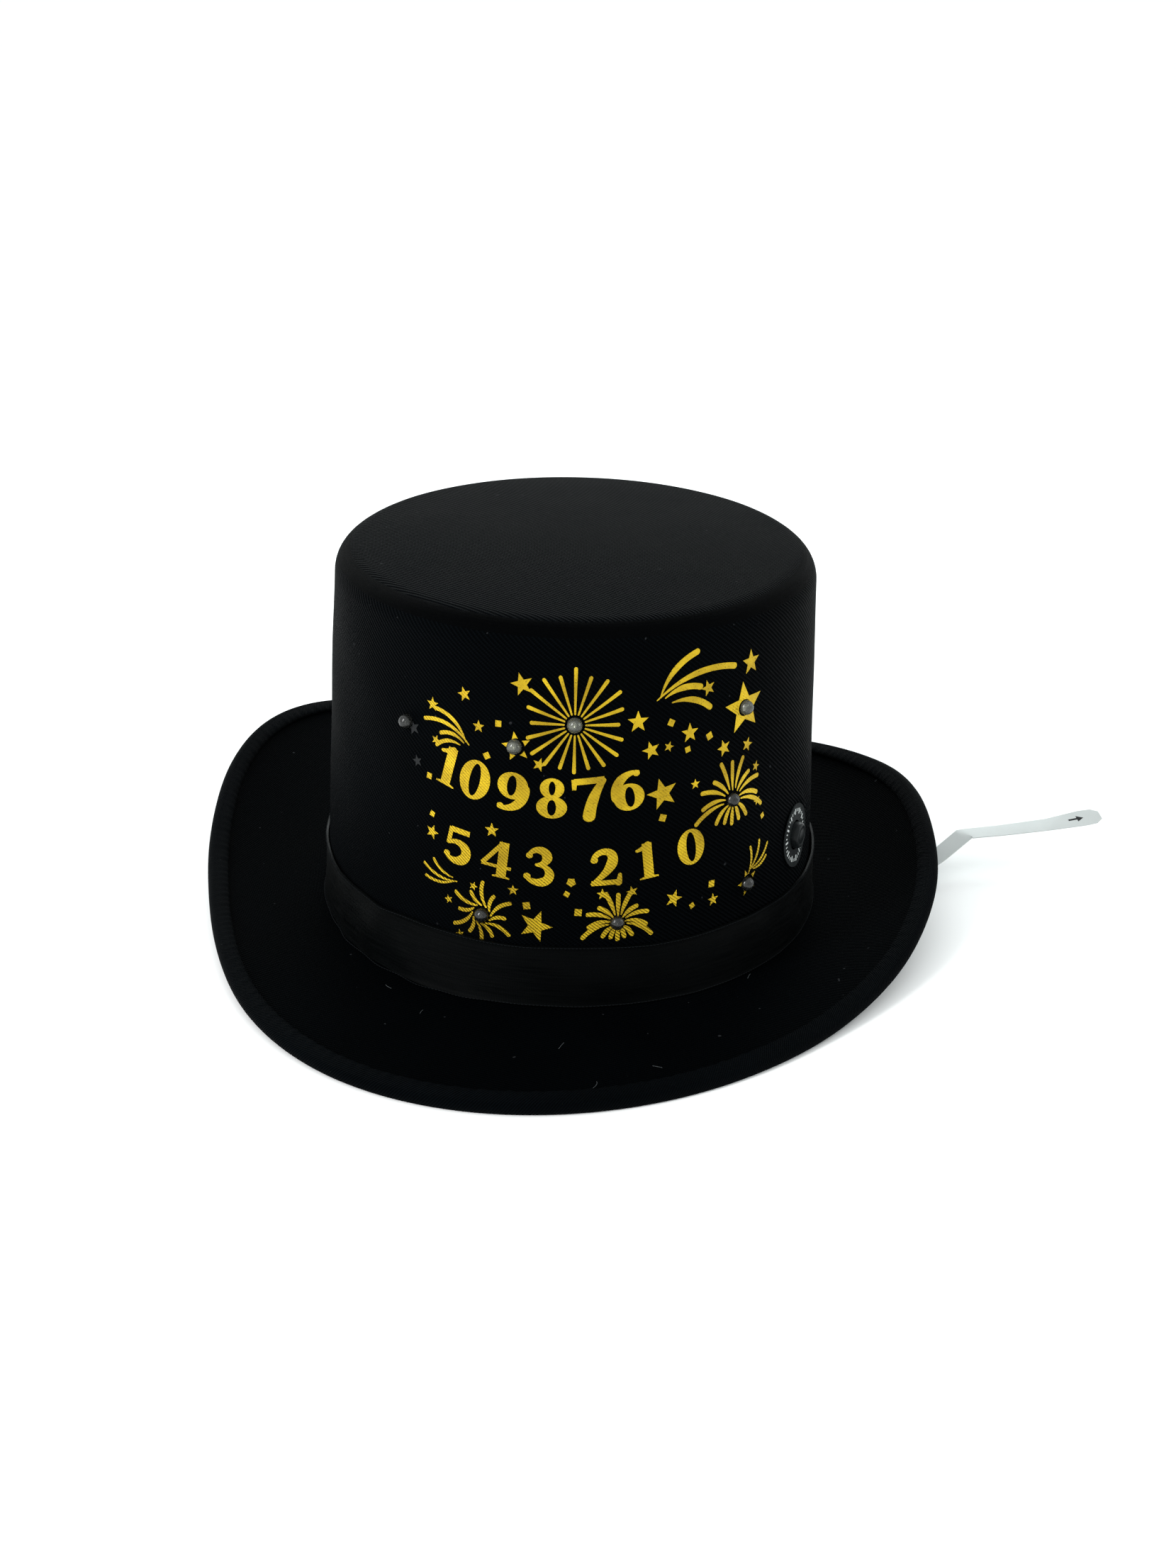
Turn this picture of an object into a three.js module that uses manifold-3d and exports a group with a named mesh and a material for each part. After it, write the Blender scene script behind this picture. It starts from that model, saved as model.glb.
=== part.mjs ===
// A light-up party top hat: a moulded foam crown and curled brim under cloth, with a satin band,
// eight small lamps, a press switch on the right side and its battery box inside the crown.
// Millimetres, +Z up, the front of the hat faces -Y. The origin is the centre of the head opening,
// on the surface that the brim rests on.
import * as THREE from "three";
import { mergeVertices } from "three/addons/utils/BufferGeometryUtils.js";
import Module from "manifold-3d";

const wasm = await Module();
wasm.setup();

// ---- Driving dimensions -----------------------------------------------------------------------

// Crown, measured on the outer face of its cloth: an ellipse in plan, longer front to back.
const CROWN_HALF_X = 90;
const CROWN_HALF_Y = 99;
const CROWN_HEIGHT = 132.5;
const CROWN_TAPER = 0.944;
const CROWN_EDGE_RADIUS = 10;
const CROWN_DOME = 3;
const CROWN_ARC_STEPS = 3;

// Brim: its flat width from the crown's root to the bound edge, and the degrees by which it curls
// up. Each is a mean with waves that go once, twice and three times round the hat, as it is soft
// and has been pushed out of shape. Its edge drops a little at front and back.
const BRIM_MEAN = 58.9;
const BRIM_COSINES = [-10.3, 9.7, 2.6];
const BRIM_SINES = [-3.8, 2.1, -6.8];
const BRIM_NOMINAL = 60;
const BRIM_EDGE_ZONE = 14;
const EDGE_DROP = 1.45;
const CURL_BROAD = 29.4;
const CURL_SIDES = 16.5;
const CURL_COSINES = [-36.8, 0, 2.4];
const CURL_SINES = [7.9, 2.2, -7.6];

// The brim cloth's upper face at the root of the crown, above the resting surface.
const ROOT_Z = 5;

// Layers of the wall, as depths inwards from the crown's outer face.
const GAP = 0.3;
const COVER_DEPTHS = [0, 0.5];
const SHELL_DEPTHS = [0.8, 3.0];
const LINING_DEPTHS = [4.8, 5.3];
const SWEATBAND_DEPTHS = [5.6, 6.6];
const WIRE_DEPTH = 3.9;

// Layers of the brim, as depths below its upper face.
const BRIM_TOP_DEPTHS = [0, 0.4];
const BRIM_CORE_DEPTHS = [0.7, 2.3];
const BRIM_UNDER_DEPTHS = [2.6, 3.0];
const BRIM_STATIONS = [0, 0.22, 0.44, 0.66, 0.883];

// Binding: a folded tape that wraps the brim's edge.
const BINDING_DEPTH = 7;
const BINDING_WALL = 0.7;
const BINDING_WEB = 1.0;
const BINDING_NOSE = 1.8;
const BINDING_NOSE_ROUND = 0.6;

// Satin band, its lap at the back, and the sweatband.
const BAND_HEIGHT = 22;
const BAND_THICKNESS = 0.5;
const BAND_CLEAR = 0.35;
const BAND_FOOT = 0.4;
const LAP_WIDTH = 15;
const SWEATBAND_TOP = 20;

// Lamps: azimuth from the front towards the right side in degrees, and height above the root.
const LAMP_RADIUS = 2.5;
const LAMP_HOLE_RADIUS = 2.9;
const LAMP_PROUD = 3.2;
const LAMP_FLANGE_DEPTHS = [3.3, 4.4];
const LAMP_PLACES = [
  [-38.5, 91.5],
  [-12, 91],
  [1, 99.5],
  [41.5, 98],
  [38, 67],
  [43, 34],
  [11, 30.5],
  [-18.5, 30.5],
];

// The two wires of the lamps: where they leave the box as [azimuth, height], the space between
// them there, and how far they pass from each lamp.
const LAMP_ORDER = [5, 4, 3, 2, 1, 0, 7, 6];
const WIRE_RADIUS = 0.5;
const WIRE_LEAD_IN = { place: [53, 43.5], spread: 1.4 };
const WIRE_CLEAR_OF_LAMP = 4.4;

// Press switch and its battery box, in the wall's frame at the button: x along the wall towards
// the back, y up, z outwards from the crown's face.
const BUTTON_AZIMUTH = 63.5;
const BUTTON_HEIGHT = 40;
const BUTTON_RADIUS = 4.7;
const BUTTON_PROUD = 3;
const BUTTON_FLANGE_RADIUS = 6;
const LABEL_RADIUS = 11.3;
const LABEL_HOLE_RADIUS = 5.3;
const BOX_WIDTH = 42;
const BOX_TOP = 9.7;
const BOX_BOTTOM = -21.8;
const BOX_OUTER_FACE = -8.4;
const BOX_RIM = -17.3;
const BOX_WALL = 1.2;
const COVER_THICKNESS = 1.2;
const DIVIDER_Y = [-8.4, -7.4];
const BOSS = { x: 16, y: 4.5, radius: 2.4, bore: 1.25 };
const SCREW_HEAD = { radius: 2.1, height: 1.3 };
const SCREW_TIP = -11.5;
const WIRE_HOLE = { x: -13, y: 4, radius: 2.6 };
const WIRE_NOTCH = { x: [-18, -14], z: -15 };
const PAD = { x: [-14, 14], y: [-20, -7.5], thickness: 1.2 };
const SWITCH_HALF = 3;
const SWITCH_HEIGHT = 3.1;
const STEM_RADIUS = 1.6;
const STEM_LENGTH = 2.2;
const STEM_STANDS_OUT = 0.4;
const BOARD_THICKNESS = 1;
const CHIP = { x: [-10, -5], y: [-6, -1], height: 1.3 };
const CELL_RADIUS = 5.8;
const CELL_THICKNESS = 5.4;
const CELL_PITCH = 12.2;
const CELL_ROW_Y = -14.6;
const CELL_OUTER_FACE = -10.5;
const CONTACT_HALF_WIDTH = 3;
const CONTACT_REACH = 3.5;
const FILM_WIDTH = 8;
const FILM_THICKNESS = 0.3;
const FILM_PLANE = -16.25;
const FILM_TIP_Y = -11.5;
const FILM_SLOT_CLEAR = { side: 0.5, face: 0.45 };

// Pull tab: the strip's centre line, from the foot of the tongue under the brim to its round end,
// with the width and the tilt of the film, in degrees, at each point.
const STRIP_Z = 1.1;
const STRIP_ROUTE = [
  { at: [124, 8.2, STRIP_Z], width: FILM_WIDTH, tilt: 0 },
  { at: [141, 20.5, 8], width: FILM_WIDTH, tilt: 0 },
  { at: [153, 31, 13.5], width: FILM_WIDTH, tilt: 2 },
  { at: [168, 32.7, 14.7], width: FILM_WIDTH, tilt: 4 },
  { at: [186, 35, 16.6], width: FILM_WIDTH, tilt: 8 },
  { at: [199, 37, 18.7], width: 9.5, tilt: 12 },
  { at: [204, 37.8, 19.4], width: 8.6, tilt: 14 },
  { at: [206.5, 38.2, 19.8], width: 4.5, tilt: 14 },
];

// ---- Worked out from the dimensions above -----------------------------------------------------

const SEGMENTS = 40;
const TOP_Z = ROOT_Z + CROWN_HEIGHT;
const SHOULDER_Z = TOP_Z - CROWN_EDGE_RADIUS;
const SHOULDER_RADIUS = CROWN_HALF_X * CROWN_TAPER - CROWN_EDGE_RADIUS;
const CROWN_EXTRA_Y = CROWN_HALF_Y - CROWN_HALF_X;
const EXTRA_Y_FADES_AT = 70;
const BRIM_UNDER_Z = ROOT_Z - BRIM_UNDER_DEPTHS[1];
const WALL_FOOT_Z = ROOT_Z + GAP;
const BUTTON_Z = ROOT_Z + BUTTON_HEIGHT;
const CELL_INNER_FACE = CELL_OUTER_FACE - CELL_THICKNESS;
const ARC_PER_DEGREE = (Math.PI * (CROWN_HALF_X + CROWN_HALF_Y)) / 360;
const BOX_HALF = BOX_WIDTH / 2;
const INSIDE_HALF = BOX_HALF - BOX_WALL;
const BOX_FLOOR = BOX_OUTER_FACE - BOX_WALL;
const radians = THREE.MathUtils.degToRad;

// How far a cutting tool runs past the faces that it cuts.
const BEYOND = 1;
const HOLE_DEPTHS = [-7, 2];

// ---- Shape of the hat -------------------------------------------------------------------------

// The crown's outer half width across the hat at height z, on its straight tapering wall.
function wallRadius(z) {
  const share = (z - ROOT_Z) / (SHOULDER_Z - ROOT_Z);
  return CROWN_HALF_X * (1 - (1 - CROWN_TAPER) * share);
}

// A point on the crown: angle from the front towards +X, radius across the hat, height.
function crownPoint(angle, radius, z) {
  const lengthwise = radius + CROWN_EXTRA_Y * Math.min(1, radius / EXTRA_Y_FADES_AT);
  return new THREE.Vector3(radius * Math.sin(angle), -lengthwise * Math.cos(angle), z);
}

// The outward normal of the crown's plan at an angle.
function planNormal(angle) {
  const x = Math.sin(angle) / CROWN_HALF_X;
  const y = -Math.cos(angle) / CROWN_HALF_Y;
  return new THREE.Vector3(x, y, 0).normalize();
}

// A sum of waves that go once, twice and so on round the hat.
function roundWaves(angle, cosines, sines) {
  let sum = 0;
  for (let i = 0; i < cosines.length; i++) {
    sum += cosines[i] * Math.cos((i + 1) * angle) + sines[i] * Math.sin((i + 1) * angle);
  }
  return sum;
}

// The flat width of the brim at an angle.
function brimWidth(angle) {
  return BRIM_MEAN + roundWaves(angle, BRIM_COSINES, BRIM_SINES);
}

// The slope of the brim's edge at an angle, in radians: a slight droop at front and back, and a
// curl at the sides.
function edgeSlope(angle) {
  const side = Math.sin(angle) ** 2;
  const waves = roundWaves(angle, CURL_COSINES, CURL_SINES);
  const lift = CURL_BROAD + CURL_SIDES * side + waves;
  return radians(side * lift) - (2 * EDGE_DROP) / brimWidth(angle);
}

// A point on the brim: run is measured along its nominal flat width, lift above its upper face.
// The edge zone keeps its true width all round, and what bears on the table is pressed flat.
function brimPoint(angle, run, lift) {
  const width = brimWidth(angle);
  const inner = BRIM_NOMINAL - BRIM_EDGE_ZONE;
  const along =
    run < inner
      ? (run * (width - BRIM_EDGE_ZONE)) / inner
      : width - (BRIM_NOMINAL - run);
  const bend = edgeSlope(angle) / width;
  const slope = bend * along;
  const out = Math.sin(slope) / bend - lift * Math.sin(slope);
  const up = (1 - Math.cos(slope)) / bend + lift * Math.cos(slope);
  const point = crownPoint(angle, CROWN_HALF_X, ROOT_Z + up);
  point.addScaledVector(planNormal(angle), out);
  point.z = Math.max(point.z, 0);
  return point;
}

// Where a point of a round flat-brimmed hat goes on this one.
function hatPoint(angle, radius, z) {
  return radius > CROWN_HALF_X
    ? brimPoint(angle, radius - CROWN_HALF_X, z - ROOT_Z)
    : crownPoint(angle, radius, z);
}

// ---- Solids -----------------------------------------------------------------------------------

// Welds shared corners, drops triangles without area and turns the faces outwards.
function closed(geometry) {
  const bare = geometry.clone();
  bare.deleteAttribute("normal");
  bare.deleteAttribute("uv");
  const welded = mergeVertices(bare, 1e-3);
  const index = [];
  const corners = [new THREE.Vector3(), new THREE.Vector3(), new THREE.Vector3()];
  let volume = 0;
  for (let i = 0; i < welded.index.count; i += 3) {
    const [a, b, c] = [0, 1, 2].map((k) => welded.index.getX(i + k));
    if (a === b || b === c || c === a) continue;
    index.push(a, b, c);
    [a, b, c].forEach((v, k) => corners[k].fromBufferAttribute(welded.attributes.position, v));
    volume += corners[0].dot(corners[1].clone().cross(corners[2]));
  }
  welded.setIndex(volume < 0 ? index.reverse() : index);
  return welded;
}

// Moves every vertex of a geometry by a function of its place.
function moved(geometry, place) {
  const shape = geometry.clone();
  const position = shape.attributes.position;
  const vertex = new THREE.Vector3();
  for (let i = 0; i < position.count; i += 1) {
    const to = place(vertex.fromBufferAttribute(position, i));
    position.setXYZ(i, to.x, to.y, to.z);
  }
  return shape;
}

function solid(geometry) {
  const shape = closed(geometry);
  const mesh = new wasm.Mesh({
    numProp: 3,
    vertProperties: new Float32Array(shape.attributes.position.array),
    triVerts: new Uint32Array(shape.index.array),
  });
  return new wasm.Manifold(mesh);
}

function geometryOf(manifold) {
  const mesh = manifold.getMesh();
  const geometry = new THREE.BufferGeometry();
  geometry.setAttribute("position", new THREE.BufferAttribute(mesh.vertProperties, 3));
  geometry.setIndex(new THREE.BufferAttribute(mesh.triVerts, 1));
  return geometry;
}

function cut(geometry, tools) {
  return geometryOf(tools.reduce((left, tool) => left.subtract(solid(tool)), solid(geometry)));
}

function joined(geometries) {
  const [first, ...rest] = geometries.map(solid);
  return geometryOf(rest.reduce((sum, next) => sum.add(next), first));
}

// The triangles of a lathe. Faces whose outline comes back inwards are split along the other
// diagonal, so that two layers fold along the same lines where they face each other.
function matchedFolds(points) {
  const index = [];
  for (let i = 0; i < SEGMENTS; i += 1) {
    for (let j = 0; j < points.length - 1; j += 1) {
      const a = i * points.length + j;
      const b = a + points.length;
      const [c, d] = [b + 1, a + 1];
      const step = points[j + 1].clone().sub(points[j]);
      const comesBack = step.x - step.y / 2 < 0;
      index.push(...(comesBack ? [a, b, c, a, c, d] : [a, b, d, b, c, d]));
    }
  }
  return index;
}

// Turns an outline of [radius, z] points about the hat's axis, and shapes it to the hat.
function turned(outline) {
  const points = outline.map(([radius, z]) => new THREE.Vector2(radius, z));
  const lathe = new THREE.LatheGeometry(points, SEGMENTS, Math.PI / SEGMENTS);
  lathe.setIndex(matchedFolds(points));
  const shaped = moved(lathe, (v) => hatPoint(Math.atan2(v.x, v.z), Math.hypot(v.x, v.z), v.y));
  return closed(shaped);
}

function ring(outline) {
  return turned([...outline, outline[0]]);
}

// A small round piece about its own Z axis, from an outline that starts and ends on the axis.
function round(outline, sides = 12) {
  const points = outline.map(([radius, z]) => new THREE.Vector2(radius, z));
  return closed(new THREE.LatheGeometry(points, sides).rotateX(Math.PI / 2));
}

function disc(radius, low, high, sides = 16) {
  return round([[0, low], [radius, low], [radius, high], [0, high]], sides);
}

function block([x0, x1], [y0, y1], [z0, z1]) {
  const box = new THREE.BoxGeometry(x1 - x0, y1 - y0, z1 - z0);
  return box.translate((x0 + x1) / 2, (y0 + y1) / 2, (z0 + z1) / 2);
}

function shifted(geometry, x, y) {
  return geometry.clone().translate(x, y, 0);
}

// A frame on the crown's outer face: X along the wall towards the back, Y up, Z outwards.
function wallFrame(azimuth, height) {
  const angle = radians(azimuth);
  const z = ROOT_Z + height;
  const outward = planNormal(angle);
  const up = new THREE.Vector3(0, 0, 1);
  const along = up.clone().cross(outward);
  const frame = new THREE.Matrix4().makeBasis(along, up, outward);
  return frame.setPosition(crownPoint(angle, wallRadius(z), z));
}

// Wraps a geometry drawn flat (x along the wall, y up, z outwards) round the crown's wall.
function wrapped(geometry, azimuth, height) {
  const middle = radians(azimuth);
  const rate = Math.hypot(CROWN_HALF_X * Math.cos(middle), CROWN_HALF_Y * Math.sin(middle));
  return moved(geometry, (v) => {
    const z = ROOT_Z + height + v.y;
    return crownPoint(middle + v.x / rate, wallRadius(z) + v.z, z);
  });
}

// A flat strip bent along a list of stations, each a centre with a direction across it.
function bentStrip(stations, thickness) {
  const steps = stations.length - 1;
  const flat = new THREE.BoxGeometry(steps, 1, 1, steps, 4, 1);
  return moved(flat, (v) => {
    const { centre, across, normal, width } = stations[Math.round(v.x + steps / 2)];
    const point = centre.clone().addScaledVector(across, v.y * width);
    return point.addScaledVector(normal, v.z * thickness);
  });
}

// ---- Materials --------------------------------------------------------------------------------

function paint(color, roughness, metalness = 0) {
  return () => new THREE.MeshStandardMaterial({ color, roughness, metalness });
}

const blackCloth = paint(0x15171c, 0.75);
const blackFoam = paint(0x26272a, 0.95);
const blackLining = paint(0x1a1b1e, 0.85);
const blackSatin = paint(0x0e0f13, 0.3);
const blackPlastic = paint(0x1c1d20, 0.45);
const greyPlastic = paint(0x3a3c40, 0.5);
const clearLens = paint(0xdfe3e6, 0.15);
const label = paint(0x3d4144, 0.4);
const steel = paint(0xb9bcc0, 0.3, 1);
const nickel = paint(0xc9c6bd, 0.35, 1);
const board = paint(0x1f5a33, 0.6);
const chipResin = paint(0x0c0c0d, 0.5);
const redWire = paint(0xa32020, 0.5);
const blackWire = paint(0x161616, 0.5);
const whiteFoam = paint(0xe8e8e4, 0.9);
const clearFilm = paint(0xe6eaea, 0.35);

const hat = new THREE.Group();
hat.name = "party_top_hat";

function place(parent, name, geometry, material) {
  const mesh = new THREE.Mesh(geometry, material());
  mesh.name = name;
  parent.add(mesh);
  return mesh;
}

// ---- Crown ------------------------------------------------------------------------------------

// Half of a crown layer's section: up the wall, round the edge and over the dome to the axis.
function crownSection(depth, footZ) {
  const section = [
    [wallRadius(footZ) - depth, footZ],
    [wallRadius(BUTTON_Z) - depth, BUTTON_Z],
  ];
  for (let i = 0; i <= CROWN_ARC_STEPS; i += 1) {
    const turn = (Math.PI / 2) * (i / CROWN_ARC_STEPS);
    const reach = CROWN_EDGE_RADIUS - depth;
    section.push([SHOULDER_RADIUS + reach * Math.cos(turn), SHOULDER_Z + reach * Math.sin(turn)]);
  }
  const halfWay = SHOULDER_RADIUS / 2;
  section.push([halfWay, TOP_Z - depth + CROWN_DOME * 0.75], [0, TOP_Z - depth + CROWN_DOME]);
  return section;
}

function crownLayer([outer, inner], footZ) {
  return turned([...crownSection(outer, footZ).reverse(), ...crownSection(inner, footZ)]);
}

// A round hole through the wall, on a place's outward direction.
function wallHole(azimuth, height, radius, low, high, x = 0, y = 0) {
  return shifted(disc(radius, low, high, 10), x, y).applyMatrix4(wallFrame(azimuth, height));
}

const lampHoles = LAMP_PLACES.map(([azimuth, height]) =>
  wallHole(azimuth, height, LAMP_HOLE_RADIUS, ...HOLE_DEPTHS),
);
const buttonHole = wallHole(BUTTON_AZIMUTH, BUTTON_HEIGHT, BUTTON_RADIUS + 0.6, ...HOLE_DEPTHS);
const wireHole = wallHole(
  BUTTON_AZIMUTH,
  BUTTON_HEIGHT,
  WIRE_HOLE.radius,
  ...HOLE_DEPTHS,
  WIRE_HOLE.x,
  WIRE_HOLE.y,
);

function buildCrown() {
  const cover = cut(crownLayer(COVER_DEPTHS, WALL_FOOT_Z), [...lampHoles, buttonHole]);
  const shell = cut(crownLayer(SHELL_DEPTHS, WALL_FOOT_Z), [...lampHoles, buttonHole]);
  const lining = cut(crownLayer(LINING_DEPTHS, BRIM_UNDER_Z + GAP), [buttonHole, wireHole]);
  place(hat, "crown_cover", cover, blackCloth);
  place(hat, "crown_shell", shell, blackFoam);
  place(hat, "crown_lining", lining, blackLining);
}

// ---- Brim -------------------------------------------------------------------------------------

const BRIM_CLOTH_EDGE = BRIM_NOMINAL - BINDING_WEB - GAP;

// A brim layer: out along its upper face and back along its lower one.
function brimLayer([top, bottom]) {
  const inner = CROWN_HALF_X - SHELL_DEPTHS[1];
  const runs = BRIM_STATIONS.map((share) => CROWN_HALF_X + share * BRIM_NOMINAL);
  const radii = [inner, ...runs, CROWN_HALF_X + BRIM_CLOTH_EDGE];
  const upper = radii.map((radius) => [radius, ROOT_Z - top]);
  const lower = radii.map((radius) => [radius, ROOT_Z - bottom]).reverse();
  return ring([...upper, ...lower]);
}

// The binding's section: a channel that the brim's edge sits in, with a rounded nose.
function bindingOutline() {
  const edge = CROWN_HALF_X + BRIM_NOMINAL;
  const top = ROOT_Z + GAP;
  const bottom = BRIM_UNDER_Z - GAP;
  const inner = edge - BINDING_DEPTH;
  const web = edge - BINDING_WEB;
  return [
    [inner, top],
    [web, top],
    [web, bottom],
    [inner, bottom],
    [inner, bottom - BINDING_WALL],
    [edge - BINDING_NOSE, bottom - BINDING_WALL],
    [edge - BINDING_NOSE_ROUND / 2, bottom + BINDING_NOSE_ROUND],
    [edge, (top + bottom) / 2],
    [edge - BINDING_NOSE_ROUND / 2, top - BINDING_NOSE_ROUND],
    [edge - BINDING_NOSE, top + BINDING_WALL],
    [inner, top + BINDING_WALL],
  ];
}

function buildBrim() {
  place(hat, "brim_core", brimLayer(BRIM_CORE_DEPTHS), blackFoam);
  place(hat, "brim_top_cloth", brimLayer(BRIM_TOP_DEPTHS), blackCloth);
  place(hat, "brim_under_cloth", brimLayer(BRIM_UNDER_DEPTHS), blackCloth);
  place(hat, "brim_binding", ring(bindingOutline()), blackCloth);
}

// ---- Bands ------------------------------------------------------------------------------------

// A band round the wall between two heights, at two depths.
function wallBand([outer, inner], lowZ, highZ) {
  return ring([
    [wallRadius(lowZ) - inner, lowZ],
    [wallRadius(highZ) - inner, highZ],
    [wallRadius(highZ) - outer, highZ],
    [wallRadius(lowZ) - outer, lowZ],
  ]);
}

function buildBands() {
  const bandOuter = BAND_CLEAR + BAND_THICKNESS;
  const depths = [-bandOuter, -BAND_CLEAR];
  const band = wallBand(depths, ROOT_Z + BAND_FOOT, ROOT_Z + BAND_HEIGHT);
  place(hat, "hat_band", band, blackSatin);

  const lapInner = bandOuter + BAND_CLEAR;
  const lapHeight = BAND_HEIGHT - 2 * BAND_FOOT;
  const flat = new THREE.BoxGeometry(LAP_WIDTH, lapHeight, BAND_THICKNESS, 4, 1, 1);
  flat.translate(0, BAND_HEIGHT / 2, lapInner + BAND_THICKNESS / 2);
  place(hat, "hat_band_lap", wrapped(flat, 180, 0), blackSatin);

  const sweatband = wallBand(SWEATBAND_DEPTHS, BRIM_UNDER_Z + GAP, SWEATBAND_TOP);
  place(hat, "sweatband", sweatband, blackSatin);
}

// ---- Lamps and their wires --------------------------------------------------------------------

function buildLamps() {
  const [flangeTop, flangeBase] = LAMP_FLANGE_DEPTHS;
  const flangeRadius = LAMP_HOLE_RADIUS - GAP;
  const domeFoot = LAMP_PROUD - LAMP_RADIUS;
  const diagonal = Math.SQRT1_2 * LAMP_RADIUS;
  const outline = [
    [0, LAMP_PROUD],
    [diagonal, domeFoot + diagonal],
    [LAMP_RADIUS, domeFoot],
    [LAMP_RADIUS, -flangeTop],
    [flangeRadius, -flangeTop],
    [flangeRadius, -flangeBase],
    [0, -flangeBase],
  ];
  LAMP_PLACES.forEach(([azimuth, height], i) => {
    const lamp = round(outline, 8).applyMatrix4(wallFrame(azimuth, height));
    place(hat, `led_${i + 1}`, lamp, clearLens);
  });
}

// The run of one wire along the wall, as flat points: it passes every lamp in turn on one side.
function wireRun(side) {
  const centre = [WIRE_LEAD_IN.place, ...LAMP_ORDER.map((i) => LAMP_PLACES[i])].map(
    ([azimuth, height]) => new THREE.Vector2(azimuth * ARC_PER_DEGREE, height),
  );
  const across = centre.slice(1).map((to, i) => {
    const ahead = to.clone().sub(centre[i]).normalize();
    return new THREE.Vector2(-ahead.y, ahead.x);
  });
  return centre.map((point, i) => {
    const before = across[Math.max(i - 1, 0)];
    const after = across[Math.min(i, across.length - 1)];
    const corner = before.clone().add(after).normalize();
    const clear = i === 0 ? WIRE_LEAD_IN.spread : WIRE_CLEAR_OF_LAMP / corner.dot(before);
    return point.clone().addScaledVector(corner, side * clear);
  });
}

// Points every few millimetres along a flat run, laid on the wall at the wires' depth.
function onWall(run) {
  const spacing = 9;
  const flat = [run[0]];
  run.slice(1).forEach((to, i) => {
    const from = run[i];
    const parts = Math.ceil(from.distanceTo(to) / spacing);
    for (let k = 1; k <= parts; k += 1) flat.push(from.clone().lerp(to, k / parts));
  });
  return flat.map((p) => {
    const z = ROOT_Z + p.y;
    return crownPoint(radians(p.x / ARC_PER_DEGREE), wallRadius(z) - WIRE_DEPTH, z);
  });
}

// A wire from the battery box past each lamp, in the space between shell and lining. side is +1
// or -1 for the two wires that run one on each side of the lamps.
function buildWire(name, side, material) {
  const frame = wallFrame(BUTTON_AZIMUTH, BUTTON_HEIGHT);
  const y = WIRE_HOLE.y - 1.1 * side;
  const stub = [-12, -9, -6.2].map((z) => new THREE.Vector3(WIRE_HOLE.x, y, z).applyMatrix4(frame));
  const path = new THREE.CatmullRomCurve3([...stub, ...onWall(wireRun(side))], false, "centripetal");
  const section = new THREE.Shape().absarc(0, 0, WIRE_RADIUS, 0, 2 * Math.PI);
  const tube = new THREE.ExtrudeGeometry(section, {
    steps: 46,
    curveSegments: 3,
    bevelEnabled: false,
    extrudePath: path,
  });
  place(hat, name, closed(tube), material);
}

// ---- Press switch and battery box, in the wall frame of the button ----------------------------

const unit = new THREE.Group();
unit.applyMatrix4(wallFrame(BUTTON_AZIMUTH, BUTTON_HEIGHT));
hat.add(unit);

const CELL_X = [-CELL_PITCH, 0, CELL_PITCH];

function buildBatteryBox() {
  const shellBlock = block([-BOX_HALF, BOX_HALF], [BOX_BOTTOM, BOX_TOP], [BOX_RIM, BOX_OUTER_FACE]);
  const depth = [BOX_RIM - BEYOND, BOX_FLOOR];
  const inside = [-INSIDE_HALF, INSIDE_HALF];
  const cellSpace = block(inside, [BOX_BOTTOM + BOX_WALL, DIVIDER_Y[0]], depth);
  const boardSpace = block(inside, [DIVIDER_Y[1], BOX_TOP - BOX_WALL], depth);
  const acrossDivider = [DIVIDER_Y[0] - BEYOND, DIVIDER_Y[1] + BEYOND];
  const wireNotch = block(WIRE_NOTCH.x, acrossDivider, [BOX_RIM - BEYOND, WIRE_NOTCH.z]);
  const through = [BOX_FLOOR - BEYOND, BOX_OUTER_FACE + BEYOND];
  const buttonWay = disc(BUTTON_RADIUS + GAP, ...through);
  const wireWay = shifted(disc(WIRE_HOLE.radius, ...through), WIRE_HOLE.x, WIRE_HOLE.y);
  const halfSlot = FILM_WIDTH / 2 + FILM_SLOT_CLEAR.side;
  const filmSlot = block(
    [CELL_PITCH - halfSlot, CELL_PITCH + halfSlot],
    [BOX_BOTTOM - BEYOND, BOX_BOTTOM + BOX_WALL + BEYOND],
    [FILM_PLANE - FILM_SLOT_CLEAR.face, FILM_PLANE + FILM_SLOT_CLEAR.face],
  );
  const boss = shifted(disc(BOSS.radius, BOX_RIM + GAP, BOX_FLOOR + GAP), BOSS.x, BOSS.y);
  const bore = shifted(disc(BOSS.bore, BOX_RIM - BEYOND, BOX_FLOOR - 2 * GAP), BOSS.x, BOSS.y);
  const hollow = cut(shellBlock, [cellSpace, boardSpace, wireNotch, buttonWay, wireWay, filmSlot]);
  place(unit, "battery_box", cut(joined([hollow, boss]), [bore]), blackPlastic);

  const padBack = BOX_OUTER_FACE + GAP;
  const pad = block(PAD.x, PAD.y, [padBack, padBack + PAD.thickness]);
  place(unit, "adhesive_pad", pad, whiteFoam);
}

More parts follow.
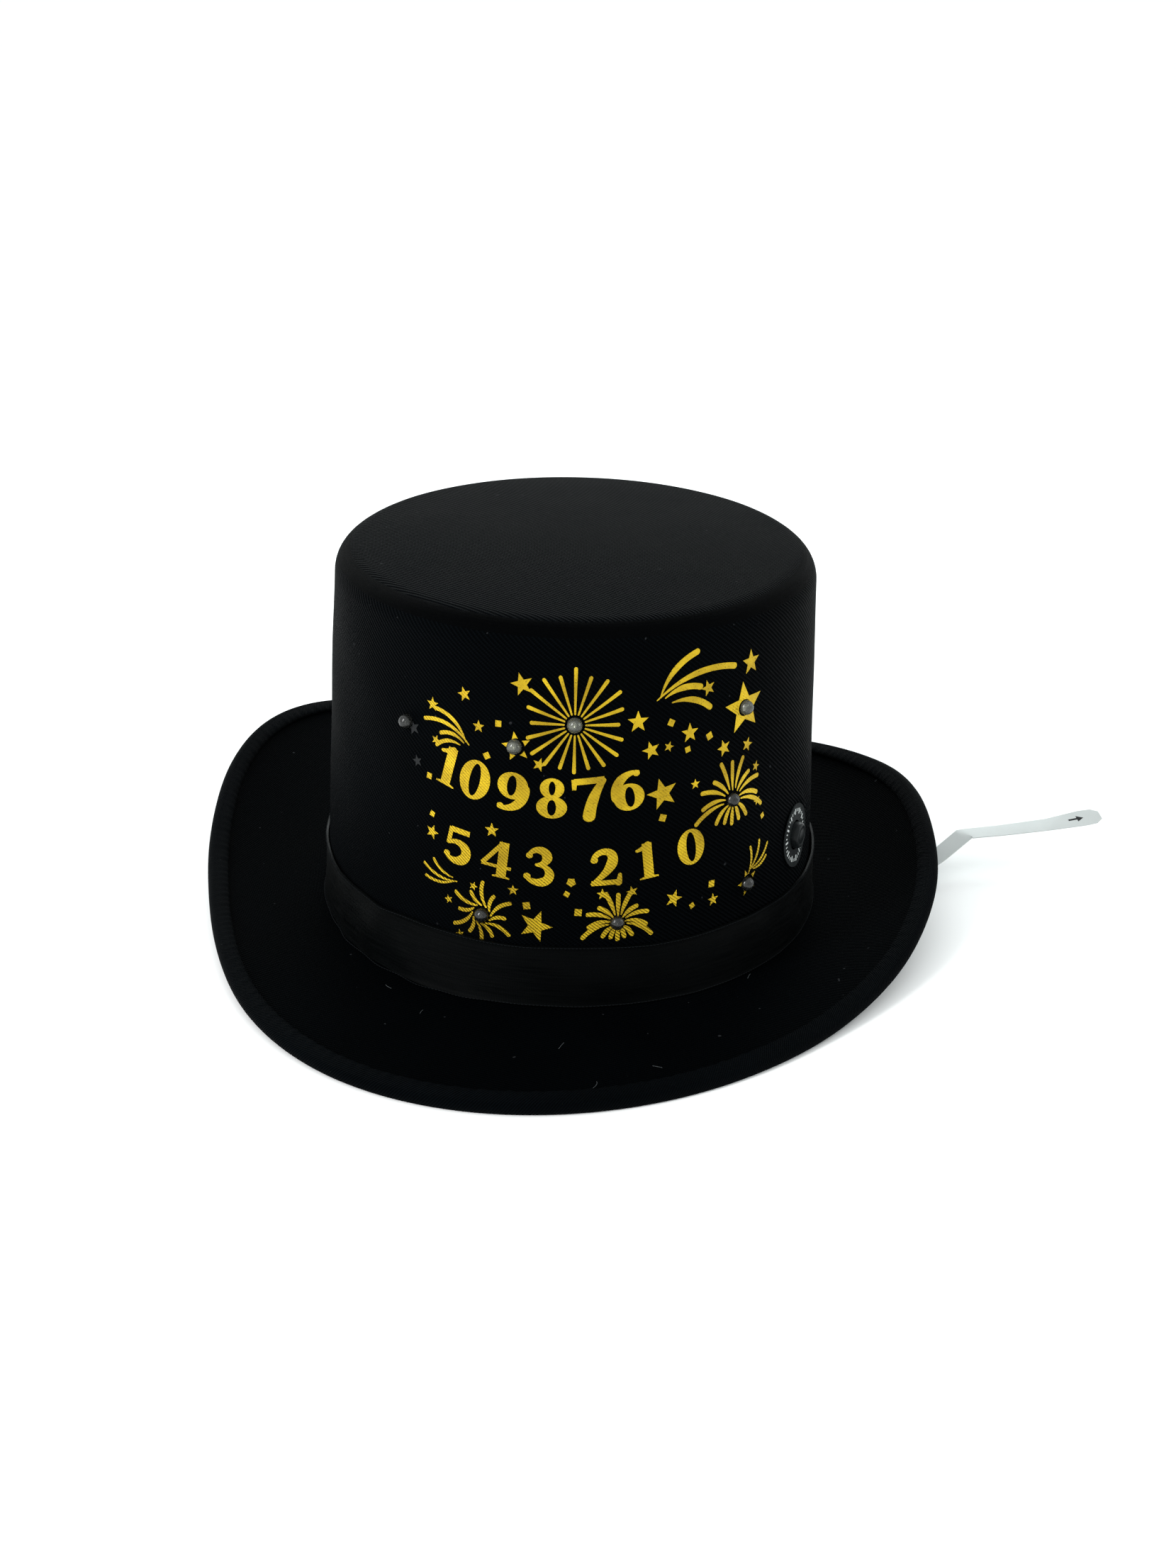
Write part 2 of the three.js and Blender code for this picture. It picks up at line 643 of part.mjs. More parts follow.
function buildBatteryCover() {
  const outerFace = BOX_RIM - GAP - COVER_THICKNESS;
  const plate = block([-BOX_HALF, BOX_HALF], [BOX_BOTTOM, BOX_TOP], [outerFace, BOX_RIM - GAP]);
  const screwWay = shifted(disc(BOSS.bore, outerFace - BEYOND, BOX_RIM + BEYOND), BOSS.x, BOSS.y);
  place(unit, "battery_cover", cut(plate, [screwWay]), blackPlastic);

  const underHead = outerFace - GAP;
  const headTop = underHead - SCREW_HEAD.height;
  const screw = round([
    [0, headTop],
    [SCREW_HEAD.radius, headTop],
    [SCREW_HEAD.radius, underHead],
    [BOSS.bore - GAP, underHead],
    [BOSS.bore - GAP, SCREW_TIP],
    [0, SCREW_TIP],
  ]);
  place(unit, "cover_screw", shifted(screw, BOSS.x, BOSS.y), steel);
}

function buildCells() {
  const rim = { width: 0.9, height: 0.6 };
  const stepZ = CELL_OUTER_FACE - rim.height;
  const cell = round(
    [
      [0, CELL_INNER_FACE],
      [CELL_RADIUS, CELL_INNER_FACE],
      [CELL_RADIUS, stepZ],
      [CELL_RADIUS - rim.width, CELL_OUTER_FACE],
      [0, CELL_OUTER_FACE],
    ],
    20,
  );
  CELL_X.forEach((x, i) => place(unit, `button_cell_${i + 1}`, shifted(cell, x, CELL_ROW_Y), nickel));

  const strapY = [CELL_ROW_Y - CONTACT_HALF_WIDTH, CELL_ROW_Y + CONTACT_HALF_WIDTH];
  const outerSide = [CELL_OUTER_FACE + GAP, CELL_OUTER_FACE + 2 * GAP];
  const innerSide = [CELL_INNER_FACE - 2 * GAP, CELL_INNER_FACE - GAP];
  const leafSide = [FILM_PLANE - 2.5 * GAP, FILM_PLANE - 1.5 * GAP];
  const reach = CONTACT_REACH;
  const [springTop, springFoot] = [2.6, 4];
  const spring = round([
    [0, outerSide[1]],
    [springFoot, outerSide[1]],
    [springTop, outerSide[0]],
    [0, outerSide[0]],
  ]);
  place(unit, "contact_spring", shifted(spring, CELL_X[0], CELL_ROW_Y), nickel);
  place(unit, "contact_strap_inner", block([CELL_X[0] - reach, reach], strapY, innerSide), nickel);
  place(unit, "contact_strap_outer", block([-reach, CELL_X[2] + reach], strapY, outerSide), nickel);
  place(unit, "contact_leaf", block([CELL_X[2] - reach, CELL_X[2] + reach], strapY, leafSide), nickel);
}

function buildSwitch() {
  const capFlange = BOX_FLOOR - GAP;
  const capBack = capFlange - 1;
  const edgeRound = 1;
  const cap = round(
    [
      [0, BUTTON_PROUD],
      [BUTTON_RADIUS - 1.3 * edgeRound, BUTTON_PROUD - 0.2 * edgeRound],
      [BUTTON_RADIUS, BUTTON_PROUD - edgeRound],
      [BUTTON_RADIUS, capFlange],
      [BUTTON_FLANGE_RADIUS, capFlange],
      [BUTTON_FLANGE_RADIUS, capBack],
      [0, capBack],
    ],
    16,
  );
  place(unit, "button_cap", cap, greyPlastic);

  const stemTop = capBack - GAP;
  const bodyTop = stemTop - STEM_STANDS_OUT - GAP;
  const bodyBase = bodyTop - SWITCH_HEIGHT;
  const square = [-SWITCH_HALF, SWITCH_HALF];
  place(unit, "switch_stem", disc(STEM_RADIUS, stemTop - STEM_LENGTH, stemTop, 12), greyPlastic);
  const bore = disc(STEM_RADIUS + GAP, bodyBase + GAP, bodyTop + BEYOND, 12);
  place(unit, "switch_body", cut(block(square, square, [bodyBase, bodyTop]), [bore]), blackPlastic);

  const boardTop = bodyBase - GAP;
  const boardX = [-INSIDE_HALF + GAP, BOSS.x - BOSS.radius - 1];
  const boardY = [DIVIDER_Y[1] + GAP, BOX_TOP - BOX_WALL - GAP];
  const boardZ = [boardTop - BOARD_THICKNESS, boardTop];
  place(unit, "circuit_board", block(boardX, boardY, boardZ), board);
  const chip = block(CHIP.x, CHIP.y, [boardTop + GAP, boardTop + GAP + CHIP.height]);
  place(unit, "control_chip", chip, chipResin);
}

// The press label: a thin disc with a hole, wrapped round the wall.
function buildLabel() {
  const face = new THREE.Shape().absarc(0, 0, LABEL_RADIUS, 0, 2 * Math.PI);
  face.holes.push(new THREE.Path().absarc(0, 0, LABEL_HOLE_RADIUS, 0, 2 * Math.PI));
  const options = { depth: 0.4, curveSegments: 10, bevelEnabled: false };
  const flat = new THREE.ExtrudeGeometry(face, options).translate(0, 0, 0.45);
  place(hat, "press_label", closed(wrapped(flat, BUTTON_AZIMUTH, BUTTON_HEIGHT)), label);
}

// ---- Pull tab ---------------------------------------------------------------------------------

const UP = new THREE.Vector3(0, 0, 1);

// Stations of the strip: level across its route, apart from the tilt at each point. It starts just
// outside the tongue, which goes down past its end.
function stripStations(foot) {
  const first = new THREE.Vector3(...STRIP_ROUTE[0].at);
  const level = foot.clone().setZ(STRIP_Z);
  const ahead = first.sub(level).normalize();
  const start = level.addScaledVector(ahead, FILM_THICKNESS / 2 + GAP);
  const route = [{ at: start.toArray(), width: FILM_WIDTH, tilt: 0 }, ...STRIP_ROUTE];
  const points = route.map(({ at }) => new THREE.Vector3(...at));
  return points.map((centre, i) => {
    const before = points[Math.max(i - 1, 0)];
    const after = points[Math.min(i + 1, points.length - 1)];
    const ahead = after.clone().sub(before).normalize();
    const across = UP.clone().cross(ahead).normalize();
    across.applyAxisAngle(ahead, radians(route[i].tilt));
    return { centre, across, normal: ahead.clone().cross(across), width: route[i].width };
  });
}

// The tongue hangs from between cell and contact, out of the slot, and turns on its way down to
// face along the strip.
function tongueStations(foot, stripAcross) {
  const frame = wallFrame(BUTTON_AZIMUTH, BUTTON_HEIGHT);
  const slotAcross = new THREE.Vector3().setFromMatrixColumn(frame, 0);
  const tipZ = BUTTON_Z + FILM_TIP_Y;
  const slotZ = BUTTON_Z + BOX_BOTTOM - 1;
  const footZ = STRIP_Z + FILM_THICKNESS / 2 + GAP;
  const turns = 8;
  const free = Array.from({ length: turns + 1 }, (_, i) => slotZ + ((footZ - slotZ) * i) / turns);
  const heights = [tipZ, ...free];
  const turn = slotAcross.angleTo(stripAcross);
  return heights.map((z) => {
    const share = Math.min(1, Math.max(0, (slotZ - z) / (slotZ - footZ)));
    const across = slotAcross.clone().applyAxisAngle(UP, turn * share);
    const normal = across.clone().cross(UP);
    return { centre: foot.clone().setZ(z), across, normal, width: FILM_WIDTH };
  });
}

function buildPullTab() {
  const frame = wallFrame(BUTTON_AZIMUTH, BUTTON_HEIGHT);
  const foot = new THREE.Vector3(CELL_PITCH, BOX_BOTTOM, FILM_PLANE).applyMatrix4(frame);
  const strip = stripStations(foot);
  const tongue = tongueStations(foot, strip[0].across);
  place(hat, "pull_tab_tongue", closed(bentStrip(tongue, FILM_THICKNESS)), clearFilm);
  place(hat, "pull_tab_strip", closed(bentStrip(strip, FILM_THICKNESS)), clearFilm);
}

buildCrown();
buildBrim();
buildBands();
buildLamps();
buildWire("harness_red", 1, redWire);
buildWire("harness_black", -1, blackWire);
buildBatteryBox();
buildBatteryCover();
buildCells();
buildSwitch();
buildLabel();
buildPullTab();

export default hat;
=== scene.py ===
"""Looks of a party top hat with lamps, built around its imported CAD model.

Metres, in the model's frame: +Z up, the printed front faces -Y, the press switch is on the +X side.
Places on the crown's wall are (u, s): u along the wall from the middle of the front towards +X,
s up the crown's section from the root of the brim.
"""
import math

import bmesh
import bpy
import numpy as np
from mathutils import Matrix, Vector
from mathutils.geometry import delaunay_2d_cdt


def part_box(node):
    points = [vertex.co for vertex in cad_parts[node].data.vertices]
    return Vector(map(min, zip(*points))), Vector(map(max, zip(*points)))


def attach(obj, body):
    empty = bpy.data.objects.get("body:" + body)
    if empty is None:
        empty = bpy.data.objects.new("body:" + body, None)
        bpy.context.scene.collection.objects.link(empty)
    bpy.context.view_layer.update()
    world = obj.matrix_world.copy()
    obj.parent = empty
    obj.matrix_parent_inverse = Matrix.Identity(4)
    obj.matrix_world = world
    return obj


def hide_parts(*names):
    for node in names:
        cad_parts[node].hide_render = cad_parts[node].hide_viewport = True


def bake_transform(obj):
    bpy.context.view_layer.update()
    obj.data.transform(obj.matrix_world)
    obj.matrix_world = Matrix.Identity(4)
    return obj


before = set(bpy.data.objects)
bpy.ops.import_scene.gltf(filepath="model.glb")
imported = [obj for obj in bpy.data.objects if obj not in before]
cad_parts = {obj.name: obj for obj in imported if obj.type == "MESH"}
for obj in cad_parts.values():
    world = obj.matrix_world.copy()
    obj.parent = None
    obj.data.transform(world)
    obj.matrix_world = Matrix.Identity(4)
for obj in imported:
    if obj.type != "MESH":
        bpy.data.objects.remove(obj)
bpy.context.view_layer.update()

MM = 0.001
TURN = 2 * math.pi
UV_NAME = "cloth"

# ---- Shape of the hat, as the CAD model has it --------------------------------------------------

GAP = 0.3 * MM
HALF_X = 90 * MM
HALF_Y = 99 * MM
TAPER = 0.944
EDGE_RADIUS = 10 * MM
DOME = 3 * MM
EXTRA_Y = HALF_Y - HALF_X
EXTRA_Y_FADES_AT = 70 * MM
ROOT_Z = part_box("crown_cover")[0].z - GAP
TOP_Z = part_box("crown_cover")[1].z - DOME
SHOULDER_Z = TOP_Z - EDGE_RADIUS
SHOULDER_RADIUS = HALF_X * TAPER - EDGE_RADIUS
WALL_RUN = SHOULDER_Z - ROOT_Z
EDGE_RUN = EDGE_RADIUS * math.pi / 2

BRIM_MEAN = 58.9 * MM
BRIM_COSINES = (-10.3 * MM, 9.7 * MM, 2.6 * MM)
BRIM_SINES = (-3.8 * MM, 2.1 * MM, -6.8 * MM)
BRIM_NOMINAL = 60 * MM
BRIM_EDGE_ZONE = 14 * MM
EDGE_DROP = 1.45 * MM
CURL_BROAD = 29.4
CURL_SIDES = 16.5
CURL_COSINES = (-36.8, 0, 2.4)
CURL_SINES = (7.9, 2.2, -7.6)

COVER_DEPTHS = (0, 0.5 * MM)
SHELL_DEPTHS = (0.8 * MM, 3 * MM)
LINING_DEPTHS = (4.8 * MM, 5.3 * MM)
SWEATBAND_DEPTHS = (5.6 * MM, 6.6 * MM)
TOP_CLOTH_LIFTS = (0, -0.4 * MM)
CORE_LIFTS = (-0.7 * MM, -2.3 * MM)
UNDER_CLOTH_LIFTS = (-2.6 * MM, -3 * MM)
BRIM_CLOTH_EDGE = BRIM_NOMINAL - 1.3 * MM
BINDING_DEPTH = 7 * MM


def wall_radius(z):
    """The crown's outer half width across the hat at height z."""
    return HALF_X * (1 - (1 - TAPER) * (z - ROOT_Z) / (SHOULDER_Z - ROOT_Z))


def crown_point(angle, radius, z):
    """A point of the crown: angle from the front towards +X, radius across the hat, height."""
    lengthwise = radius + EXTRA_Y * np.minimum(1, radius / EXTRA_Y_FADES_AT)
    x, y = radius * np.sin(angle), -lengthwise * np.cos(angle)
    return np.stack(np.broadcast_arrays(x, y, z), axis=-1)


def plan_normal(angle):
    """The outward normal of the crown's plan at an angle, level."""
    x, y = np.sin(angle) / HALF_X, -np.cos(angle) / HALF_Y
    length = np.hypot(x, y)
    return np.stack(np.broadcast_arrays(x / length, y / length, 0 * angle), axis=-1)


def section(s, depth):
    """Radius and height on the crown's section, s along its outer face from the root."""
    turn = np.clip((s - WALL_RUN) / EDGE_RADIUS, 0, math.pi / 2)
    share = np.clip(1 - (s - WALL_RUN - EDGE_RUN) / SHOULDER_RADIUS, 0, 1)
    wall_z = ROOT_Z + np.minimum(s, WALL_RUN)
    reach = EDGE_RADIUS - depth
    on_wall = s < WALL_RUN
    over_top = SHOULDER_RADIUS * share + reach * np.cos(turn)
    radius = np.where(on_wall, wall_radius(wall_z) - depth, over_top)
    top_z = SHOULDER_Z + reach * np.sin(turn) + DOME * (1 - share**2)
    return radius, np.where(on_wall, wall_z, top_z)


# The distance round the root of the crown, from the middle of the front, at each angle.
ARC_ANGLES = np.linspace(-math.pi, math.pi, 1441)
ARC_RATES = np.hypot(HALF_X * np.cos(ARC_ANGLES), HALF_Y * np.sin(ARC_ANGLES))
ARC_STEPS = (ARC_RATES[1:] + ARC_RATES[:-1]) / 2 * np.diff(ARC_ANGLES)
ARC_LENGTHS = np.concatenate([[0], np.cumsum(ARC_STEPS)])
HALF_ROUND = ARC_LENGTHS[-1] / 2
ARC_LENGTHS -= HALF_ROUND


def u_of(angle):
    return np.interp(angle, ARC_ANGLES, ARC_LENGTHS)


def angle_of(u):
    return np.interp(u, ARC_LENGTHS, ARC_ANGLES)


def round_waves(angle, cosines, sines):
    """A sum of waves that go once, twice and so on round the hat."""
    pairs = enumerate(zip(cosines, sines), start=1)
    return sum(c * np.cos(k * angle) + s * np.sin(k * angle) for k, (c, s) in pairs)


def brim_width(angle):
    return BRIM_MEAN + round_waves(angle, BRIM_COSINES, BRIM_SINES)


def edge_slope(angle):
    """The slope of the brim's edge in radians: a droop at front and back, a curl at the sides."""
    side = np.sin(angle) ** 2
    lift = CURL_BROAD + CURL_SIDES * side + round_waves(angle, CURL_COSINES, CURL_SINES)
    return np.radians(side * lift) - 2 * EDGE_DROP / brim_width(angle)


BRIM_WAVE = 0.5 * MM


def brim_relief(angle, run):
    """The slight waviness of a soft brim, nothing at its root."""
    share = np.clip(run / BRIM_NOMINAL, 0, 1) ** 2
    side = np.sin(angle) ** 2
    waves = np.sin(5 * angle + 0.4) + 0.6 * np.sin(9 * angle - 1.3) + 0.3 * np.sin(17 * angle)
    return BRIM_WAVE * share * side * waves


def brim_point(angle, run, lift):
    """A point of the brim: run along its nominal flat width, lift above its upper face."""
    width = brim_width(angle)
    inner = BRIM_NOMINAL - BRIM_EDGE_ZONE
    within = run * (width - BRIM_EDGE_ZONE) / inner
    along = np.where(run < inner, within, width - (BRIM_NOMINAL - run))
    lift = lift + brim_relief(angle, run)
    bend = edge_slope(angle) / width
    slope = bend * np.maximum(along, 0)
    out = np.sin(slope) / bend - lift * np.sin(slope)
    up = (1 - np.cos(slope)) / bend + lift * np.cos(slope)
    point = crown_point(angle, HALF_X + np.minimum(run, 0), ROOT_Z + up)
    point = point + plan_normal(angle) * out[..., None]
    point[..., 2] = np.maximum(point[..., 2], 0)
    return point


def wall_place(node, depth):
    """(u, s) of the place on the wall over the middle of a round CAD node, which is depth deep."""
    low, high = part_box(node)
    middle = np.array((low + high) / 2)
    point = middle
    for _ in range(4):
        radius = wall_radius(middle[2])
        angle = math.atan2(point[0] / radius, -point[1] / (radius + EXTRA_Y))
        point = middle + plan_normal(np.float64(angle)) * depth
    return float(u_of(angle)), middle[2] - ROOT_Z


LAMP_COUNT = 8
LAMP_MIDDLE_DEPTH = 0.6 * MM
LAMPS = [wall_place(f"led_{i + 1}", LAMP_MIDDLE_DEPTH) for i in range(LAMP_COUNT)]
STEM_MIDDLE_DEPTH = 12.3 * MM
BUTTON = wall_place("switch_stem", STEM_MIDDLE_DEPTH)
LAMP_HOLE = 2.65 * MM
BUTTON_HOLE = 5.3 * MM

# How the cloth stands out round what comes through it.
LAMP_PUCKER = 0.55 * MM
LAMP_PUCKER_REACH = 3.6 * MM
LABEL_SWELL = 0.25 * MM
LABEL_RADIUS = 11.3 * MM


def crown_relief(u, s):
    """How far the crown's cloth stands out from its nominal face."""
    turn = u / HALF_ROUND * math.pi
    low = np.clip(s / WALL_RUN, 0, 1)
    swell = 0.45 * MM * np.sin(3 * turn + 0.7) * np.sin(math.pi * low)
    swell = swell + 0.25 * MM * np.sin(7 * turn - 1.1 + 9 * low) * (1 - low)
    swell = swell + 0.15 * MM * np.sin(11 * turn + 14 * low)
    swell = swell * np.clip((WALL_RUN + EDGE_RUN - s) / (40 * MM), 0, 1)
    for lamp_u, lamp_s in LAMPS:
        distance = np.hypot(u - lamp_u, s - lamp_s) / LAMP_PUCKER_REACH
        swell = swell + LAMP_PUCKER * np.exp(-(distance**2))
    off = np.hypot(u - BUTTON[0], s - BUTTON[1])
    ridge = np.exp(-(((off - LABEL_RADIUS - 2 * MM) / (2.2 * MM)) ** 2))
    towards_back = np.clip((u - BUTTON[0]) / (8 * MM), 0, 1)
    return swell + LABEL_SWELL * ridge * (1 + 1.5 * towards_back)


def on_crown(u, s, offset):
    """Points offset outwards from the crown's cloth, on its wall, edge and top."""
    angle = angle_of(u)
    radius, z = section(s, -(offset + crown_relief(u, s)))
    return crown_point(angle, radius, z)


def wall_frame(place):
    """A matrix at a place on the wall: x along it towards +u, y up, z outwards."""
    u, s = place
    outward = Vector(plan_normal(np.float64(angle_of(u))))
    up = Vector((0, 0, 1))
    along = up.cross(outward)
    z = ROOT_Z + s
    origin = Vector(crown_point(np.float64(angle_of(u)), wall_radius(z), z))
    rows = Matrix((along, up, outward)).transposed()
    return Matrix.Translation(origin) @ rows.to_4x4()


# ---- Camera, floor and light --------------------------------------------------------------------

VIEW_TARGET = Vector((6.1 * MM, 0, 43.9 * MM))
VIEW_ELEVATION = math.radians(23)
VIEW_DISTANCE = 786.5 * MM
VIEW_ROLL = math.radians(1.4)
SENSOR = 36
LENS = 48.8


def make_camera():
    data = bpy.data.cameras.new("camera")
    data.sensor_width = SENSOR
    data.lens = LENS
    data.clip_start = 0.01
    data.clip_end = 60
    camera = bpy.data.objects.new("camera", data)
    bpy.context.scene.collection.objects.link(camera)
    back = Vector((0, -math.cos(VIEW_ELEVATION), math.sin(VIEW_ELEVATION)))
    turned = (-back).to_track_quat("-Z", "Y").to_matrix() @ Matrix.Rotation(VIEW_ROLL, 3, "Z")
    camera.matrix_world = Matrix.Translation(VIEW_TARGET + VIEW_DISTANCE * back) @ turned.to_4x4()
    bpy.context.scene.camera = camera


def area_light(name, place, aim, size, power, colour=(1, 1, 1)):
    data = bpy.data.lights.new(name, "AREA")
    data.shape = "RECTANGLE"
    data.size, data.size_y = size
    data.energy = power
    data.color = colour
    light = bpy.data.objects.new(name, data)
    bpy.context.scene.collection.objects.link(light)
    light.location = place
    light.rotation_mode = "QUATERNION"
    light.rotation_quaternion = (Vector(aim) - Vector(place)).to_track_quat("-Z", "Y")


def make_stage():
    half = 25
    mesh = bpy.data.meshes.new("floor")
    corners = [(-half, -half, 0), (half, -half, 0), (half, half, 0), (-half, half, 0)]
    mesh.from_pydata(corners, [], [(0, 1, 2, 3)])
    floor = bpy.data.objects.new("floor", mesh)
    bpy.context.scene.collection.objects.link(floor)
    pale = Surface("floor_paint", Base_Color=(0.94, 0.94, 0.94, 1), Roughness=0.9)
    pale.shader.inputs["Specular IOR Level"].default_value = 0.1
    mesh.materials.append(pale.material)

    world = bpy.data.worlds.new("studio")
    bpy.context.scene.world = world
    world.use_nodes = True
    sky = world.node_tree.nodes["Background"]
    sky.inputs["Color"].default_value = (0.97, 1, 1, 1)
    sky.inputs["Strength"].default_value = 1.1

    cool = (0.9, 1, 0.99)
    area_light("back_softbox", (0.05, 1.5, 0.95), (0, 0, 0.14), (1.9, 0.8), 15, cool)
    area_light("left_softbox", (-0.85, -0.75, 0.75), (0, 0, 0.05), (0.2, 0.7), 11)
    area_light("right_softbox", (1.4, 0.1, 0.8), (0, 0, 0.06), (0.5, 0.9), 3, cool)

    view = bpy.context.scene.view_settings
    view.view_transform = "Standard"
    view.look = "None"
    view.exposure = 0
    view.gamma = 1


# ---- Materials ----------------------------------------------------------------------------------


class Surface:
    """A material on the Principled shader. Its nodes are added one at a time."""

    def __init__(self, name, **sockets):
        self.material = bpy.data.materials.new(name)
        self.material.use_nodes = True
        self.tree = self.material.node_tree
        self.shader = self.tree.nodes["Principled BSDF"]
        for key, value in sockets.items():
            self.shader.inputs[key.replace("_", " ")].default_value = value

    def node(self, kind, inputs=(), **settings):
        """Adds a node. inputs are values or outputs for its sockets, by place or by name."""
        made = self.tree.nodes.new("ShaderNode" + kind)
        for key, value in settings.items():
            setattr(made, key, value)
        pairs = inputs.items() if isinstance(inputs, dict) else enumerate(inputs)
        for key, value in pairs:
            if isinstance(value, bpy.types.NodeSocket):
                self.tree.links.new(value, made.inputs[key])
            else:
                made.inputs[key].default_value = value
        return made

    def math(self, operation, *inputs):
        return self.node("Math", inputs, operation=operation).outputs[0]

    def join(self, output, socket):
        self.tree.links.new(output, self.shader.inputs[socket])

    def uv(self):
        return self.node("UVMap", uv_map=UV_NAME).outputs[0]

    def place(self):
        return self.node("TexCoord").outputs["Object"]

    def noise(self, coords, scale, detail=3.0, roughness=0.5):
        inputs = {"Vector": coords, "Scale": scale, "Detail": detail, "Roughness": roughness}
        return self.node("TexNoise", inputs).outputs[0]

    def ramp(self, value, low, high, to_low=0.0, to_high=1.0):
        return self.node("MapRange", (value, low, high, to_low, to_high)).outputs[0]

    def lines(self, coords, pitch, degrees, shift=None):
        """A wave from -1 to 1 of straight lines at a pitch and a direction."""
        turn = math.radians(degrees)
        rate = TURN / pitch
        along = (rate * math.cos(turn), rate * math.sin(turn), 0)
        dot = self.node("VectorMath", (coords, along), operation="DOT_PRODUCT").outputs["Value"]
        if shift is not None:
            dot = self.math("ADD", dot, shift)
        return self.math("SINE", dot)

    def bump(self, height, distance, strength=1.0):
        made = self.node("Bump", {"Height": height, "Distance": distance, "Strength": strength})
        self.join(made.outputs[0], "Normal")

    def mix(self, factor, first, second):
        inputs = {"Factor": factor, "A": first, "B": second}
        made = self.node("Mix", data_type="RGBA")
        sockets = {"Factor": made.inputs[0], "A": made.inputs[6], "B": made.inputs[7]}
        for key, value in inputs.items():
            if isinstance(value, bpy.types.NodeSocket):
                self.tree.links.new(value, sockets[key])
            else:
                sockets[key].default_value = value
        return made.outputs[2]


def shade(colour, times):
    return tuple(c * times for c in colour[:3]) + (1,)


def crown_coords(surface):
    """Cloth coordinates of the crown: round its wall, and flat across its top."""
    place = surface.place()
    height = surface.node("SeparateXYZ", (place,)).outputs[2]
    on_top = surface.ramp(height, SHOULDER_Z + 5 * MM, SHOULDER_Z + 9 * MM)
    made = surface.node("Mix", data_type="VECTOR")
    for output, socket in ((on_top, 0), (surface.uv(), 4), (place, 5)):
        surface.tree.links.new(output, made.inputs[socket])
    return made.outputs[1]


def woven(surface, coords, colour, pitch, degrees, depth, streak=0.45):
    """A twill weave: ribs at one angle, finer threads across them, with slubs and worn patches."""
    drift = surface.math("MULTIPLY", surface.noise(coords, 55.0, 2.0), 3.5)
    rib = surface.lines(coords, pitch, degrees, drift)
    thread = surface.lines(coords, pitch * 0.62, degrees + 74)
    slub = surface.noise(coords, 900.0, 2.0)
    cloud = surface.noise(coords, 28.0, 4.0)
    height = surface.math("MULTIPLY_ADD", thread, 0.35, rib)
    height = surface.math("MULTIPLY_ADD", slub, 0.8, height)
    surface.bump(height, depth)
    rib_tone = surface.ramp(rib, -1.0, 1.0, 1 - streak, 1 + streak)
    tone = surface.math("MULTIPLY", rib_tone, surface.ramp(cloud, 0.3, 0.7, 0.8, 1.2))
    tone = surface.math("MULTIPLY", tone, surface.ramp(slub, 0.3, 0.75, 0.85, 1.2))
    scaled = surface.node("VectorMath", (colour[:3],), operation="SCALE")
    surface.tree.links.new(tone, scaled.inputs["Scale"])
    lint = surface.ramp(surface.noise(coords, 420.0, 0.0), 0.865, 0.885)
    toned = surface.mix(lint, scaled.outputs[0], (0.02, 0.021, 0.023, 1))
    surface.join(toned, "Base Color")
    thread_gloss = surface.ramp(rib, -1.0, 1.0, 0.66, 0.46)
    surface.join(surface.math("MULTIPLY_ADD", cloud, 0.1, thread_gloss), "Roughness")


def cloth_material(name, colour, coords_of, pitch=1.25 * MM, degrees=52, depth=0.24 * MM, **sockets):
    surface = Surface(name, **sockets)
    woven(surface, coords_of(surface), colour, pitch, degrees, depth)
    return surface.material


SHEEN = {
    "Specular_IOR_Level": 0.0085,
    "Sheen_Weight": 0.002,
    "Sheen_Roughness": 0.4,
    "Sheen_Tint": (0.85, 0.93, 1, 1),
}
BLACK_CLOTH = (0.0007, 0.0011, 0.0015)


def satin_material(name, colour):
    """Satin ribbon: long floats round the hat, so that its shine is drawn out up and down."""
    surface = Surface(name, Specular_IOR_Level=0.045, Anisotropic=0.75)
    coords = surface.uv()
    stretched = surface.node("Mapping", {"Vector": coords, "Scale": (60, 1400, 1)}).outputs[0]
    floats = surface.noise(stretched, 1.0, 2.0)
    cross = surface.lines(coords, 0.34 * MM, 0)
    height = surface.math("MULTIPLY_ADD", cross, 0.25, floats)
    surface.bump(height, 0.05 * MM)
    cloud = surface.noise(coords, 35.0, 3.0)
    tone = surface.ramp(cloud, 0.3, 0.7, 0.8, 1.25)
    scaled = surface.node("VectorMath", (colour[:3],), operation="SCALE")
    surface.tree.links.new(tone, scaled.inputs["Scale"])
    surface.join(scaled.outputs[0], "Base Color")
    surface.join(surface.ramp(floats, 0.3, 0.7, 0.32, 0.5), "Roughness")
    tangent = surface.node("Tangent", direction_type="UV_MAP", uv_map=UV_NAME)
    surface.join(tangent.outputs[0], "Tangent")
    surface.shader.inputs["Anisotropic Rotation"].default_value = 0.25
    return surface.material


def gold_material():
    """Gold foil pressed on the cloth: the weave shows through, and the foil is rubbed in places."""
    surface = Surface("gold_foil", Metallic=0.92, Specular_IOR_Level=0.3)
    coords = surface.uv()
    rib = surface.lines(coords, 0.9 * MM, 52)
    grain = surface.noise(coords, 1500.0, 3.0)
    patch = surface.noise(coords, 70.0, 4.0)
    height = surface.math("MULTIPLY_ADD", grain, 1.4, rib)
    surface.bump(height, 0.05 * MM)
    bright, dull = (0.64, 0.44, 0.02, 1), (0.38, 0.25, 0.015, 1)
    colour = surface.mix(surface.ramp(patch, 0.35, 0.65), bright, dull)
    worn = surface.ramp(grain, 0.6, 0.7, 0.0, 0.75)
    surface.join(surface.mix(worn, colour, (0.05, 0.038, 0.012, 1)), "Base Color")
    surface.join(surface.ramp(patch, 0.3, 0.7, 0.42, 0.56), "Roughness")
    return surface.material


